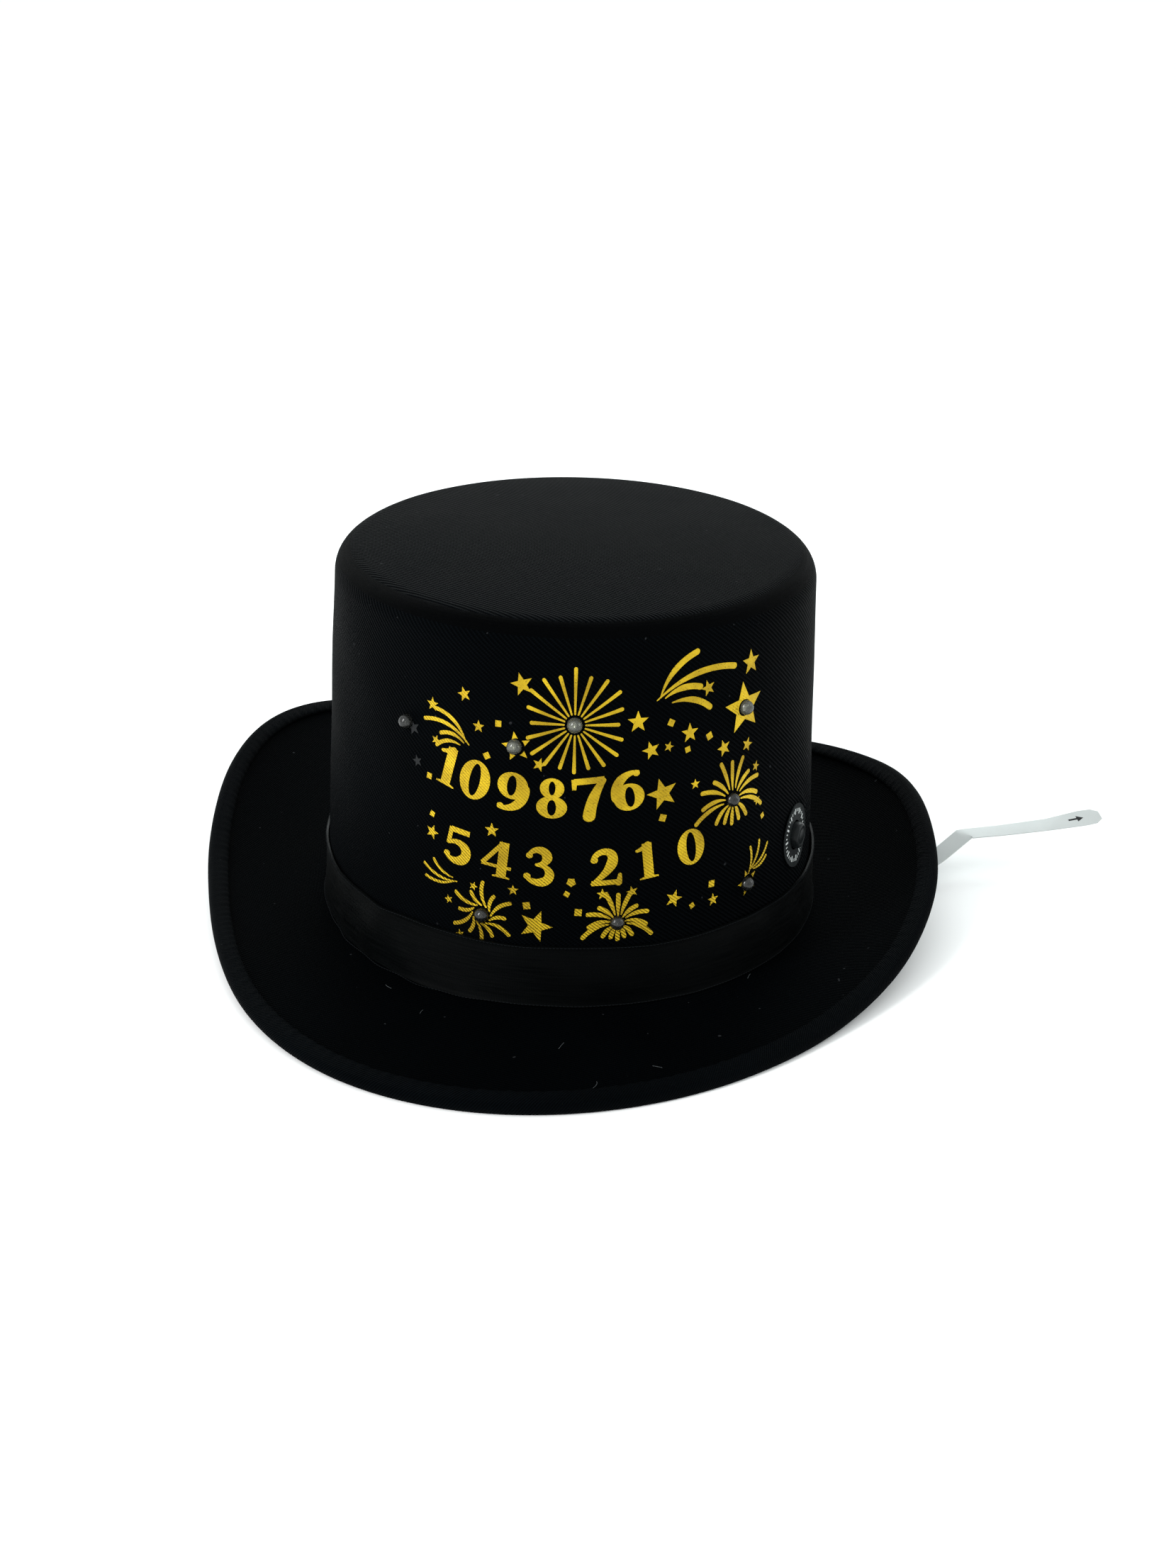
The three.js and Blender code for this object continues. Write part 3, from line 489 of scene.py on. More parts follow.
def moulded_material(name, colour, roughness, grain=0.02 * MM, scale=1800.0, **sockets):
    """Moulded plastic, foam or rubber: a fine grain and a slightly uneven gloss."""
    surface = Surface(name, **sockets)
    coords = surface.place()
    fine = surface.noise(coords, scale, 2.0)
    cloud = surface.noise(coords, 90.0, 3.0)
    surface.bump(fine, grain)
    surface.join(surface.mix(cloud, shade(colour, 0.85), shade(colour, 1.15)), "Base Color")
    surface.join(surface.ramp(cloud, 0.3, 0.7, roughness - 0.06, roughness + 0.06), "Roughness")
    return surface.material


def metal_material(name, colour, roughness):
    """Plated metal with drawn-out scratches."""
    surface = Surface(name, Metallic=1.0)
    coords = surface.place()
    drawn = surface.node("Mapping", {"Vector": coords, "Scale": (2600, 200, 400)}).outputs[0]
    streak = surface.noise(drawn, 1.0, 2.0)
    cloud = surface.noise(coords, 160.0, 3.0)
    surface.bump(streak, 0.01 * MM)
    surface.join(surface.mix(cloud, shade(colour, 0.85), shade(colour, 1.08)), "Base Color")
    surface.join(surface.ramp(streak, 0.3, 0.7, roughness - 0.08, roughness + 0.08), "Roughness")
    return surface.material


def lens_material(name, colour):
    surface = Surface(name, Transmission_Weight=0.8, IOR=1.45, Roughness=0.2)
    cloud = surface.noise(surface.place(), 900.0, 2.0)
    surface.join(surface.mix(cloud, shade(colour, 0.83), shade(colour, 1.17)), "Base Color")
    surface.bump(cloud, 0.003 * MM)
    return surface.material


def film_material():
    """Milky polyester film, its tone uneven in soft clouds, and scuffed."""
    surface = Surface("milky_film", Transmission_Weight=0.12, IOR=1.5, Coat_Weight=0.15)
    coords = surface.place()
    scuff = surface.noise(coords, 700.0, 4.0, 0.65)
    cloud = surface.noise(coords, 60.0, 3.0)
    surface.join(surface.mix(cloud, (0.4, 0.425, 0.42, 1), (0.5, 0.525, 0.52, 1)), "Base Color")
    surface.join(surface.ramp(scuff, 0.3, 0.7, 0.3, 0.46), "Roughness")
    surface.bump(scuff, 0.012 * MM)
    return surface.material


def make_materials():
    foam = (0.008, 0.008, 0.009)
    flat = Surface.place
    under = dict(SHEEN, Specular_IOR_Level=0.004, Sheen_Weight=0.0006)
    tape = dict(SHEEN, Specular_IOR_Level=0.008, Sheen_Weight=0.003)
    film_gloss = {"Specular_IOR_Level": 0.12}
    matt = {"Specular_IOR_Level": 0.03}
    knit = {"Specular_IOR_Level": 0.05, "Sheen_Weight": 0.01}
    return {
        "crown_cloth": cloth_material("crown_twill", BLACK_CLOTH, crown_coords, **SHEEN),
        # The brim's cloth is the crown's black cloth darkened to three quarters: painted shade, for
        # the crown's shadow on the brim and its facing.
        "brim_cloth": cloth_material(
            "brim_twill_painted_shade", shade(BLACK_CLOTH, 0.75), flat, 1.1 * MM, 68, **under
        ),
        "binding": cloth_material(
            "binding_twill", shade(BLACK_CLOTH, 1.5), Surface.uv, 0.75 * MM, 38, **tape
        ),
        "lining": cloth_material(
            "lining_knit", (0.008, 0.008, 0.01), Surface.uv, 1.3 * MM, 0, **knit
        ),
        "tape": cloth_material(
            "sweatband_rib", (0.007, 0.007, 0.009), Surface.uv, 1.1 * MM, 90, **knit
        ),
        "satin": satin_material("satin_ribbon", (0.0004, 0.0007, 0.0008)),
        "gold": gold_material(),
        "missed_print": moulded_material("missed_print", (0.011, 0.012, 0.013), 0.6, **film_gloss),
        "foam": moulded_material(
            "black_foam", foam, 0.85, 0.15 * MM, 700.0, Specular_IOR_Level=0.1
        ),
        "thread": moulded_material(
            "sewing_thread", (0.0065, 0.0076, 0.0086), 0.6, 0.03 * MM, 2500.0, **matt
        ),
        "lint": moulded_material("lint_hair", (0.1, 0.11, 0.115), 0.8, **matt),
        "label": moulded_material(
            "label_film", (0.009, 0.011, 0.0115), 0.4, 0.01 * MM, 300.0, **film_gloss
        ),
        "label_print": moulded_material("label_print", (0.55, 0.58, 0.57), 0.5),
        "button": moulded_material("button_plastic", (0.006, 0.0075, 0.008), 0.34, **film_gloss),
        "box": moulded_material("box_plastic", (0.014, 0.014, 0.016), 0.48),
        "lens": lens_material("clear_epoxy", (0.27, 0.28, 0.23)),
        # The same clear lens darkened, for lamps that sit in shade: painted shade on identical lamps.
        "shaded_lens": lens_material("painted_shade_epoxy", (0.035, 0.037, 0.035)),
        "die_cup": metal_material("lead_frame", (0.55, 0.55, 0.53), 0.35),
        "steel": metal_material("steel_screw", (0.56, 0.56, 0.57), 0.3),
        "nickel": metal_material("nickel_plate", (0.62, 0.6, 0.56), 0.32),
        "board": moulded_material("solder_mask", (0.012, 0.09, 0.03), 0.35),
        "chip": moulded_material("chip_resin", (0.008, 0.008, 0.009), 0.45),
        "red_wire": moulded_material("red_insulation", (0.32, 0.012, 0.012), 0.4),
        "black_wire": moulded_material("black_insulation", (0.01, 0.01, 0.01), 0.4),
        "pad": moulded_material("pad_foam", (0.7, 0.7, 0.67), 0.85, 0.2 * MM, 900.0),
        "film": film_material(),
        "film_print": moulded_material("film_print", (0.006, 0.006, 0.007), 0.6, **film_gloss),
    }


# ---- Mesh tools ---------------------------------------------------------------------------------

SHARP = math.radians(48)


def make_piece(name, points, faces, material, body="hat", slot=None, uv=None, replaces=()):
    """A named, closed, smooth-shaded mesh that rides on a body."""
    mesh = bpy.data.meshes.new(name)
    mesh.from_pydata(np.asarray(points).reshape(-1, 3).tolist(), [], [tuple(f) for f in faces])
    if uv is not None:
        layer = mesh.uv_layers.new(name=UV_NAME)
        corner = np.zeros(len(mesh.loops), np.int64)
        mesh.loops.foreach_get("vertex_index", corner)
        layer.data.foreach_set("uv", np.asarray(uv, np.float32).reshape(-1, 2)[corner].ravel())
    body_mesh = bmesh.new()
    body_mesh.from_mesh(mesh)
    bmesh.ops.remove_doubles(body_mesh, verts=body_mesh.verts, dist=1e-7)
    stray = [edge for edge in body_mesh.edges if not edge.link_faces]
    bmesh.ops.delete(body_mesh, geom=stray, context="EDGES")
    bmesh.ops.recalc_face_normals(body_mesh, faces=body_mesh.faces)
    body_mesh.to_mesh(mesh)
    body_mesh.free()
    mesh.materials.append(MATERIALS[material])
    mesh.polygons.foreach_set("use_smooth", [True] * len(mesh.polygons))
    mesh.set_sharp_from_angle(angle=SHARP)
    piece = bpy.data.objects.new(name, mesh)
    bpy.context.scene.collection.objects.link(piece)
    if body:
        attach(piece, body)
    if replaces:
        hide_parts(*replaces)
    return piece


def shell_faces(rows, cols, joined, keep=None):
    """Quads of two facing grids of points, the second's after the first's, with walls between
    them round every border and hole. joined means that the last column lies on the first."""
    row, col = np.meshgrid(np.arange(rows - 1), np.arange(cols - 1), indexing="ij")
    if keep is None:
        keep = np.ones(row.shape, bool)
    a = row * cols + col
    b, d, e = a + 1, a + cols, a + cols + 1
    second = rows * cols
    faces = [np.stack([a, b, e, d], -1)[keep], np.stack([a, d, e, b], -1)[keep] + second]
    below, above = np.zeros_like(keep), np.zeros_like(keep)
    below[1:], above[:-1] = keep[:-1], keep[1:]
    left, right = np.roll(keep, 1, axis=1), np.roll(keep, -1, axis=1)
    if not joined:
        left[:, 0], right[:, -1] = False, False
    sides = ((below, b, a), (right, e, b), (above, d, e), (left, a, d))
    for neighbour, start, end in sides:
        bare = keep & ~neighbour
        quad = np.stack([start, end, end + second, start + second], -1)
        faces.append(quad[bare])
    return np.concatenate(faces)


def shell_piece(name, outer, inner, material, uv=None, joined=True, keep=None, **facts):
    rows, cols = outer.shape[:2]
    faces = shell_faces(rows, cols, joined, keep)
    both = None if uv is None else np.concatenate([uv.reshape(-1, 2), uv.reshape(-1, 2)])
    points = np.concatenate([outer.reshape(-1, 3), inner.reshape(-1, 3)])
    return make_piece(name, points, faces, material, uv=both, **facts)


def loop_piece(name, grid, material, uv=None, **facts):
    """A ring or bar from a grid whose rows are closed outlines and whose columns go round."""
    rows, cols = grid.shape[:2]
    row, col = np.meshgrid(np.arange(rows), np.arange(cols - 1), indexing="ij")
    after = (row + 1) % rows
    quads = [row * cols + col, row * cols + col + 1, after * cols + col + 1, after * cols + col]
    faces = np.stack(quads, -1).reshape(-1, 4)
    return make_piece(name, grid, faces, material, uv=uv, **facts)


def lathe_piece(name, outline, place, material, segments=48, **facts):
    """A round piece about the z axis of a matrix, from (radius, z) that starts and ends on it."""
    turn = np.linspace(0, TURN, segments + 1)
    radius = np.array([r for r, _ in outline])[:, None]
    height = np.array([z for _, z in outline])[:, None]
    x, y, z = np.broadcast_arrays(radius * np.cos(turn), radius * np.sin(turn), height)
    points = np.stack([x, y, z], -1)
    rotation, shift = np.array(place.to_3x3()), np.array(place.translation)
    points = points @ rotation.T + shift
    rows, cols = points.shape[:2]
    row, col = np.meshgrid(np.arange(rows - 1), np.arange(cols - 1), indexing="ij")
    a = (row * cols + col).ravel()
    quads = np.stack([a, a + 1, a + cols + 1, a + cols], -1).tolist()
    faces = [pole_face(quad, cols, outline) for quad in quads]
    return make_piece(name, points, faces, material, **facts)


def scaled_outline(points):
    """A lathe's outline from millimetres."""
    return [(r * MM, z * MM) for r, z in points]


def pole_face(face, cols, outline):
    """The corners of a lathe's face, without repeats on its axis."""
    kept = []
    for corner in face:
        if outline[corner // cols][0] == 0 and any(outline[k // cols][0] == 0 for k in kept):
            continue
        kept.append(corner)
    return kept


# ---- Crown --------------------------------------------------------------------------------------

EDGE_STEPS = 12
DOME_STEPS = 24
CROWN_COLUMNS = 512
CROWN_STEP = 1.15 * MM
LINING_FOOT = -2.4 * MM
CROWN_HOLES = [(place, LAMP_HOLE) for place in LAMPS] + [(BUTTON, BUTTON_HOLE)]

# The layers behind the cloth have coarser grids, so the foam's holes for the lamps are wider.
INNER_COLUMNS = 320
INNER_STEP = 1.8 * MM
FOAM_LAMP_HOLE = 3 * MM
FOAM_HOLES = [(place, FOAM_LAMP_HOLE) for place in LAMPS] + [(BUTTON, BUTTON_HOLE)]
WIRE_HOLE_PLACE = (BUTTON[0] - 13.8 * MM, BUTTON[1] + 4 * MM)
WIRE_HOLE = 3 * MM
LINING_HOLES = [(BUTTON, BUTTON_HOLE), (WIRE_HOLE_PLACE, WIRE_HOLE)]


def section_stations(foot, wall_step, edge_steps, dome_steps):
    wall = np.linspace(foot, WALL_RUN, int((WALL_RUN - foot) / wall_step) + 1)
    edge = WALL_RUN + EDGE_RUN * np.arange(1, edge_steps + 1) / edge_steps
    dome = WALL_RUN + EDGE_RUN + SHOULDER_RADIUS * np.arange(1, dome_steps + 1) / dome_steps
    return np.concatenate([wall, edge, dome])


def open_holes(u, s, holes):
    """Moves the grid's points on to each hole's edge, and says which cells stay."""
    cell_u = (u[1:, 1:] + u[:-1, :-1]) / 2
    cell_s = (s[1:, 1:] + s[:-1, :-1]) / 2
    keep = np.ones(cell_u.shape, bool)
    for (hole_u, hole_s), radius in holes:
        inside = np.hypot(cell_u - hole_u, cell_s - hole_s) < radius
        keep &= ~inside
        near_in = np.zeros(u.shape, bool)
        near_out = np.zeros(u.shape, bool)
        for rows in (slice(None, -1), slice(1, None)):
            for cols in (slice(None, -1), slice(1, None)):
                near_in[rows, cols] |= inside
                near_out[rows, cols] |= ~inside
        edge = near_in & near_out
        away = np.hypot(u - hole_u, s - hole_s)
        pull = np.where(edge, radius / np.maximum(away, 1e-6), 1)
        u, s = hole_u + (u - hole_u) * pull, hole_s + (s - hole_s) * pull
    return u, s, keep


def crown_layer(name, depths, foot, material, columns, wall_step, holes, waves=True, **facts):
    """A layer of the crown between two depths, from its foot over the top."""
    stations = section_stations(foot, wall_step, EDGE_STEPS, DOME_STEPS)
    angles = np.linspace(-math.pi, math.pi, columns + 1)
    u, s, keep = open_holes(*np.meshgrid(u_of(angles), stations), holes)
    angle = angle_of(u)
    relief = crown_relief(u, s) if waves else 0 * u
    faces = []
    for depth in depths:
        radius, z = section(s, depth - relief)
        faces.append(crown_point(angle, radius, z))
    uv = np.stack([u, s], -1)
    return shell_piece(name, faces[0], faces[1], material, uv=uv, keep=keep, **facts)


def make_crown():
    crown_layer(
        "crown_cloth", COVER_DEPTHS, GAP, "crown_cloth", CROWN_COLUMNS, CROWN_STEP, CROWN_HOLES,
        slot="black_cloth", replaces=["crown_cover"],
    )
    foam = crown_layer(
        "crown_foam", SHELL_DEPTHS, GAP, "foam", INNER_COLUMNS, INNER_STEP, FOAM_HOLES,
        waves=False, slot="foam_core", replaces=["crown_shell"],
    )
    crown_layer(
        "crown_lining_cloth", LINING_DEPTHS, LINING_FOOT, "lining", INNER_COLUMNS, INNER_STEP,
        LINING_HOLES, waves=False, slot="lining_cloth", replaces=["crown_lining"],
    )


# ---- Brim and its binding -----------------------------------------------------------------------

BRIM_COLUMNS = 480
BRIM_INNER_RUN = -3 * MM


def brim_layer(name, lifts, material, rows, columns=BRIM_COLUMNS, **facts):
    runs = np.linspace(BRIM_INNER_RUN, BRIM_CLOTH_EDGE, rows)
    angles = np.linspace(-math.pi, math.pi, columns + 1)
    angle, run = np.meshgrid(angles, runs)
    upper = brim_point(angle, run, lifts[0] + 0 * run)
    lower = brim_point(angle, run, lifts[1] + 0 * run)
    return shell_piece(name, upper, lower, material, uv=upper[..., :2], **facts)


def binding_section():
    """(run, lift) round the folded tape's section: tucked in at the seam, full at the nose."""
    seam = BRIM_NOMINAL - BINDING_DEPTH
    nose = BRIM_NOMINAL
    nose_radius = 2 * MM
    flat = nose - nose_radius - seam
    low = UNDER_CLOTH_LIFTS[1] - GAP
    tape = 0.7 * MM
    share = np.linspace(0, 1, 14)
    puff = 0.75 * MM * np.sin(math.pi * share**0.7) ** 0.8
    top = [(seam + flat * k, GAP + tape + p) for k, p in zip(share, puff)]
    middle = (GAP + tape + low - tape) / 2
    half = (GAP + tape - low + tape) / 2
    turns = np.radians(np.linspace(80, -80, 11))
    round_nose = [
        (nose - nose_radius + nose_radius * math.cos(t), middle + half * math.sin(t)) for t in turns
    ]
    bottom = [(seam + flat * k, low - tape - 0.5 * p) for k, p in zip(share, puff)]
    web = nose - MM
    channel = [(seam, low), (web, low), (web, GAP), (seam, GAP)]
    return top + round_nose + bottom[::-1] + channel


STITCH_RUN = 1.1 * MM
STITCH_LIFT = 1.15 * MM
STITCH_LENGTH = 1.9 * MM
STITCH_THICK = 0.3 * MM
BINDING_PITCH = 2.6 * MM
BINDING_SPREAD = 1.6  # how much longer the seam is than the root of the crown
BINDING_COLUMNS = 1100
PUCKER_DEPTH = 0.16 * MM
PUCKER_REACH = 4 * MM
JOIN_FADE = math.radians(2)


def make_binding():
    """The rolled edge, with small uneven puckers along its seam. They fade out at its join."""
    angles = np.linspace(-math.pi, math.pi, BINDING_COLUMNS + 1)
    outline = binding_section()
    distance = u_of(angles) * BINDING_SPREAD
    pucker = np.sin(distance * TURN / (4.2 * MM) + 2 * np.sin(distance * 40))
    pucker = pucker + 0.6 * np.sin(distance * TURN / (7.7 * MM) + 1.3)
    from_join = (math.pi - np.abs(angles)) / JOIN_FADE
    pucker = pucker * (1 - np.exp(-(from_join**2)))
    rows = []
    for run, lift in outline:
        near_seam = math.exp(-(((run - BRIM_NOMINAL + BINDING_DEPTH) / PUCKER_REACH) ** 2))
        outer_face = lift > GAP * 1.5 or lift < UNDER_CLOTH_LIFTS[1] - 1.5 * GAP
        ease = PUCKER_DEPTH * near_seam * pucker if outer_face else 0 * pucker
        rows.append(brim_point(angles, run + 0 * angles, lift + ease))
    grid = np.stack(rows)
    steps = np.cumsum([0] + [math.dist(a, b) for a, b in zip(outline[1:], outline[:-1])])
    u, v = np.meshgrid(distance, steps)
    loop_piece(
        "brim_binding_tape", grid, "binding", uv=np.stack([u, v], -1),
        slot="binding_cloth", replaces=["brim_binding"],
    )


def stitches(name, path_of, count, length, thickness, material, **facts):
    """A row of short sewn threads. path_of gives points of the row at distances along it."""
    rings, sides = 7, 6
    points, faces = [], []
    for i in range(count):
        share = np.linspace(-0.5, 0.5, rings)
        centre, outward = path_of(i, share * length)
        ahead = np.gradient(centre, axis=0)
        ahead = ahead / np.linalg.norm(ahead, axis=1)[:, None]
        across = np.cross(ahead, outward)
        rise = np.cos(math.pi * share)
        taper = 0.35 + 0.65 * np.sqrt(np.clip(rise, 0, 1))
        base = len(points)
        for k in range(rings):
            middle = centre[k] + outward[k] * thickness * (rise[k] - 0.35)
            for j in range(sides):
                t = TURN * j / sides
                ring = across[k] * math.cos(t) + outward[k] * math.sin(t)
                points.append(middle + ring * thickness * 0.5 * taper[k])
        for k in range(rings - 1):
            for j in range(sides):
                a, b = base + k * sides + j, base + k * sides + (j + 1) % sides
                faces.append((a, b, b + sides, a + sides))
        faces.append(tuple(base + j for j in range(sides))[::-1])
        faces.append(tuple(base + (rings - 1) * sides + j for j in range(sides)))
    return make_piece(name, points, faces, material, **facts)


def make_binding_stitches():
    count = int(2 * HALF_ROUND * BINDING_SPREAD / BINDING_PITCH)

    def seam(i, along):
        middle = -HALF_ROUND + 2 * HALF_ROUND * (i + 0.5) / count
        angle = angle_of(middle + along / BINDING_SPREAD)
        run = BRIM_NOMINAL - BINDING_DEPTH + STITCH_RUN + 0 * angle
        on_seam = brim_point(angle, run, STITCH_LIFT + 0 * angle)
        above = brim_point(angle, run, STITCH_LIFT + MM + 0 * angle)
        return on_seam, (above - on_seam) / MM

    stitches(
        "binding_stitches", seam, count, STITCH_LENGTH, STITCH_THICK, "thread", slot="binding_cloth"
    )


def make_brim():
    # Both brim cloths take the brim colour, darker than the crown's same cloth: painted shade.
    brim_layer(
        "brim_cloth", TOP_CLOTH_LIFTS, "brim_cloth", 56,
        slot="black_cloth", replaces=["brim_top_cloth"],
    )
    foam = brim_layer(
        "brim_foam", CORE_LIFTS, "foam", 14, 160, slot="foam_core", replaces=["brim_core"]
    )
    brim_layer(
        "brim_facing", UNDER_CLOTH_LIFTS, "brim_cloth", 40,
        slot="black_cloth", replaces=["brim_under_cloth"],
    )
    make_binding()
    make_binding_stitches()


# ---- Satin band, lap and sweatband --------------------------------------------------------------

BAND_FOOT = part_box("hat_band")[0].z - ROOT_Z
BAND_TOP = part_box("hat_band")[1].z - ROOT_Z
BAND_CLEAR = 0.35 * MM
BAND_THICK = 0.5 * MM
KINK_ANGLE = math.radians(-47)
LOOSE_ANGLE = math.radians(-42)
FLARE_ANGLE = math.radians(-30)


def band_relief(angle, share):
    """Slack in the ribbon: long soft waves, and a crease where it was eased round at the left."""
    waves = 0.4 * MM * np.sin(7 * angle + 2.5 * share) * np.sin(math.pi * share)
    waves = waves + 0.22 * MM * np.sin(13 * angle - 3 * share + 0.8)
    waves = waves + 0.1 * MM * np.sin(29 * angle + 5 * share)
    crease = (angle - KINK_ANGLE) / math.radians(4.5) - 1.2 * (share - 0.5)
    lip = 1.1 * MM * np.exp(-(crease**2)) * (0.35 + 0.65 * share)
    second = (angle - KINK_ANGLE + math.radians(13)) / math.radians(3.2) + 1.5 * (share - 0.3)
    lip = lip + 0.7 * MM * np.exp(-(second**2)) * (1 - 0.5 * share)
    flare = (angle - FLARE_ANGLE) / math.radians(17)
    lip = lip + 1.9 * MM * np.exp(-(flare**2)) * (1 - share) ** 1.5
    return 0.5 * (waves + np.hypot(waves, 0.2 * MM)) + 0.1 * MM + lip


def band_grid(angles, rows, clear, thick, foot, top):
    """The closed section of a ribbon on the wall: its outer face, then its inner one."""
    share = np.linspace(0, 1, rows)
    bead = 0.22 * MM * (np.exp(-((share / 0.035) ** 2)) + np.exp(-(((1 - share) / 0.035) ** 2)))
    grid, coords = [], []
    for face, order in ((clear + thick, range(rows)), (clear, reversed(range(rows)))):
        for k in order:
            edge = 0.3 * MM * np.sin(9 * angles + 1) * share[k]
            s = foot + (top - foot) * share[k] + edge
            swell = bead[k] if face > clear else 0
            offset = face + swell + band_relief(angles, share[k])
            radius, z = section(s, -offset)
            grid.append(crown_point(angles, radius, z))
            coords.append(np.stack([u_of(angles), s], -1))
    return np.stack(grid), np.stack(coords)


def make_bands():
    angles = np.linspace(-math.pi, math.pi, 721)
    grid, uv = band_grid(angles, 26, BAND_CLEAR, BAND_THICK, BAND_FOOT, BAND_TOP)
    loop_piece("satin_band", grid, "satin", uv=uv, slot="black_satin", replaces=["hat_band"])
    make_selvedges()
    make_lap()
    make_sweatband()


def make_selvedges():
    """The ribbon's woven edges: fine looped threads, the lower one working loose at the left."""
    pitch = 1.25 * MM
    count = int(2 * HALF_ROUND / pitch)
    edges = (("band_selvedge_top", 1, BAND_TOP), ("band_selvedge_foot", 0, BAND_FOOT))
    for name, share, height in edges:

        def edge(i, along, share=share, height=height):
            angle = angle_of(-HALF_ROUND + 2 * HALF_ROUND * (i + 0.5) / count + along)
            loose = np.exp(-(((angle - LOOSE_ANGLE) / math.radians(24)) ** 2)) * (1 - share)
            s = height + 0.3 * MM * np.sin(9 * angle + 1) * share + (0.4 - 0.8 * share) * MM
            offset = BAND_CLEAR + BAND_THICK + 0.22 * MM + band_relief(angle, share)
            offset = offset + (1.1 + 0.5 * np.sin(31 * angle)) * MM * loose
            places = []
            for lift in (0, MM):
                radius, z = section(s, -(offset + lift))
                places.append(crown_point(angle, radius, z))
            return places[0], (places[1] - places[0]) / MM

        stitches(name, edge, count, 1.15 * MM, 0.26 * MM, "thread", slot="black_satin")


def make_lap():
    """The band's join: a short strip folded over it, its edges turned under."""
    half = 7.5 * MM
    rows, cols = 24, 25
    share_u, share_s = np.meshgrid(np.linspace(-1, 1, cols), np.linspace(0, 1, rows))
    edge = np.clip(1 - share_u**8, 0, 1) ** 0.5
    fold = 0.12 * MM * np.sin(7 * share_u + 2 * share_s)
    low, high = BAND_CLEAR + BAND_THICK + 0.75 * MM, 0.75 * MM
    s = BAND_FOOT + (BAND_TOP - BAND_FOOT - 0.6 * MM) * share_s + 0.3 * MM
    around = math.pi + share_u * half / HALF_Y * 1.1
    faces = []
    for offset in (low + high * (0.55 + 0.45 * edge) + fold, low + 0 * edge):
        radius, z = section(s, -offset)
        faces.append(crown_point(around, radius, z))
    uv = np.stack([s, share_u * half], -1)
    shell_piece(
        "band_lap_fold", faces[0], faces[1], "satin", uv=uv, joined=False,
        slot="black_satin", replaces=["hat_band_lap"],
    )


def make_sweatband():
    angles = np.linspace(-math.pi, math.pi, 361)
    low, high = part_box("sweatband")[0].z - ROOT_Z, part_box("sweatband")[1].z - ROOT_Z
    rows = 14
    share = np.linspace(0, 1, rows)
    grid, coords = [], []
    outer, inner_depth = SWEATBAND_DEPTHS
    for depth, order in ((outer, range(rows)), (inner_depth, reversed(range(rows)))):
        for k in order:
            s = low + (high - low) * share[k] + 0 * angles
            wave = 0.2 * MM * np.sin(15 * angles + 3 * share[k]) if depth > outer else 0 * angles
            radius, z = section(s, depth + wave)
            grid.append(crown_point(angles, radius, z))
            coords.append(np.stack([u_of(angles), s], -1))
    loop_piece(
        "sweatband_tape", np.stack(grid), "tape", uv=np.stack(coords),
        slot="sweatband_cloth", replaces=["sweatband"],
    )


# ---- Gold print ---------------------------------------------------------------------------------

FOIL_OFFSET = 0.05 * MM
FOIL_THICK = 0.09 * MM
FOIL_CELL = 2.5 * MM


def oval(centre, half, steps=40):
    turns = TURN * np.arange(steps) / steps
    return [(centre[0] + half[0] * math.cos(t), centre[1] + half[1] * math.sin(t)) for t in turns]


def stroke(points, widths, round_ends=True):
    """The outline of a brush stroke along points, as wide as its widths say at each."""
    line = np.array(points, float)
    count = len(line)
    width = np.interp(np.linspace(0, 1, count), np.linspace(0, 1, len(widths)), widths) / 2
    ahead = np.gradient(line, axis=0)
    ahead = ahead / np.linalg.norm(ahead, axis=1)[:, None]
    across = np.stack([-ahead[:, 1], ahead[:, 0]], -1)
    left = line + across * width[:, None]
    right = line - across * width[:, None]
    outline = list(map(tuple, left))
    if round_ends:
        outline += cap(line[-1], ahead[-1], width[-1])
    outline += list(map(tuple, right[::-1]))
    if round_ends:
        outline += cap(line[0], -ahead[0], width[0])
    return outline


def cap(point, ahead, radius, steps=6):
    """The round end of a stroke, between its two sides."""
    start = math.atan2(ahead[1], ahead[0]) + math.pi / 2
    turns = [start - math.pi * k / steps for k in range(1, steps)]
    return [(point[0] + radius * math.cos(t), point[1] + radius * math.sin(t)) for t in turns]


def curve(*knots, steps=22):
    """A Bezier curve of any degree through its first and last knots."""
    share = np.linspace(0, 1, steps)[:, None]
    points = [np.array(k, float)[None] * np.ones_like(share) for k in knots]
    while len(points) > 1:
        points = [a * (1 - share) + b * share for a, b in zip(points[:-1], points[1:])]
    return points[0].tolist()


def serif(x, y, half, height, up=1):
    """A bracketed slab serif centred on x, with its flat side on y."""
    inner = half * 0.45
    return [
        (x - half, y),
        (x + half, y),
        (x + half, y + up * height * 0.5),
        (x + inner, y + up * height),
        (x - inner, y + up * height),
        (x - half, y + up * height * 0.5),
    ]


# Serif figures one unit high, as (filled outlines, holes). Their main strokes are STEM wide and
# their thin ones HAIR.
STEM = 0.235
HAIR = 0.085
FIGURE_WIDENING = 1.16


def figure_one():
    stem = stroke([(0.02, 0), (0.02, 1)], [STEM], round_ends=False)
    flag = stroke(curve((0.04, 0.97), (-0.08, 0.86), (-0.22, 0.83)), [STEM * 0.6, HAIR])
    return [stem, flag, serif(0.02, 0, 0.23, 0.07)], []


def figure_zero():
    return [oval((0, 0.5), (0.36, 0.515))], [oval((0, 0.5), (0.36 - STEM, 0.515 - HAIR))]


def figure_two():
    bowl = curve((-0.26, 0.7), (-0.24, 1.06), (0.36, 1.12), (0.34, 0.66), (0.1, 0.38), (-0.3, 0.06))
    base = stroke([(-0.32, 0.07), (0.3, 0.07)], [0.14], round_ends=False)
    lip = stroke(curve((0.3, 0.04), (0.33, 0.12), (0.34, 0.27)), [STEM * 0.7, HAIR])
    ball = oval((-0.24, 0.72), (0.085, 0.085), 20)
    return [stroke(bowl, [HAIR * 1.4, STEM * 0.8, STEM * 1.1, HAIR]), base, lip, ball], []


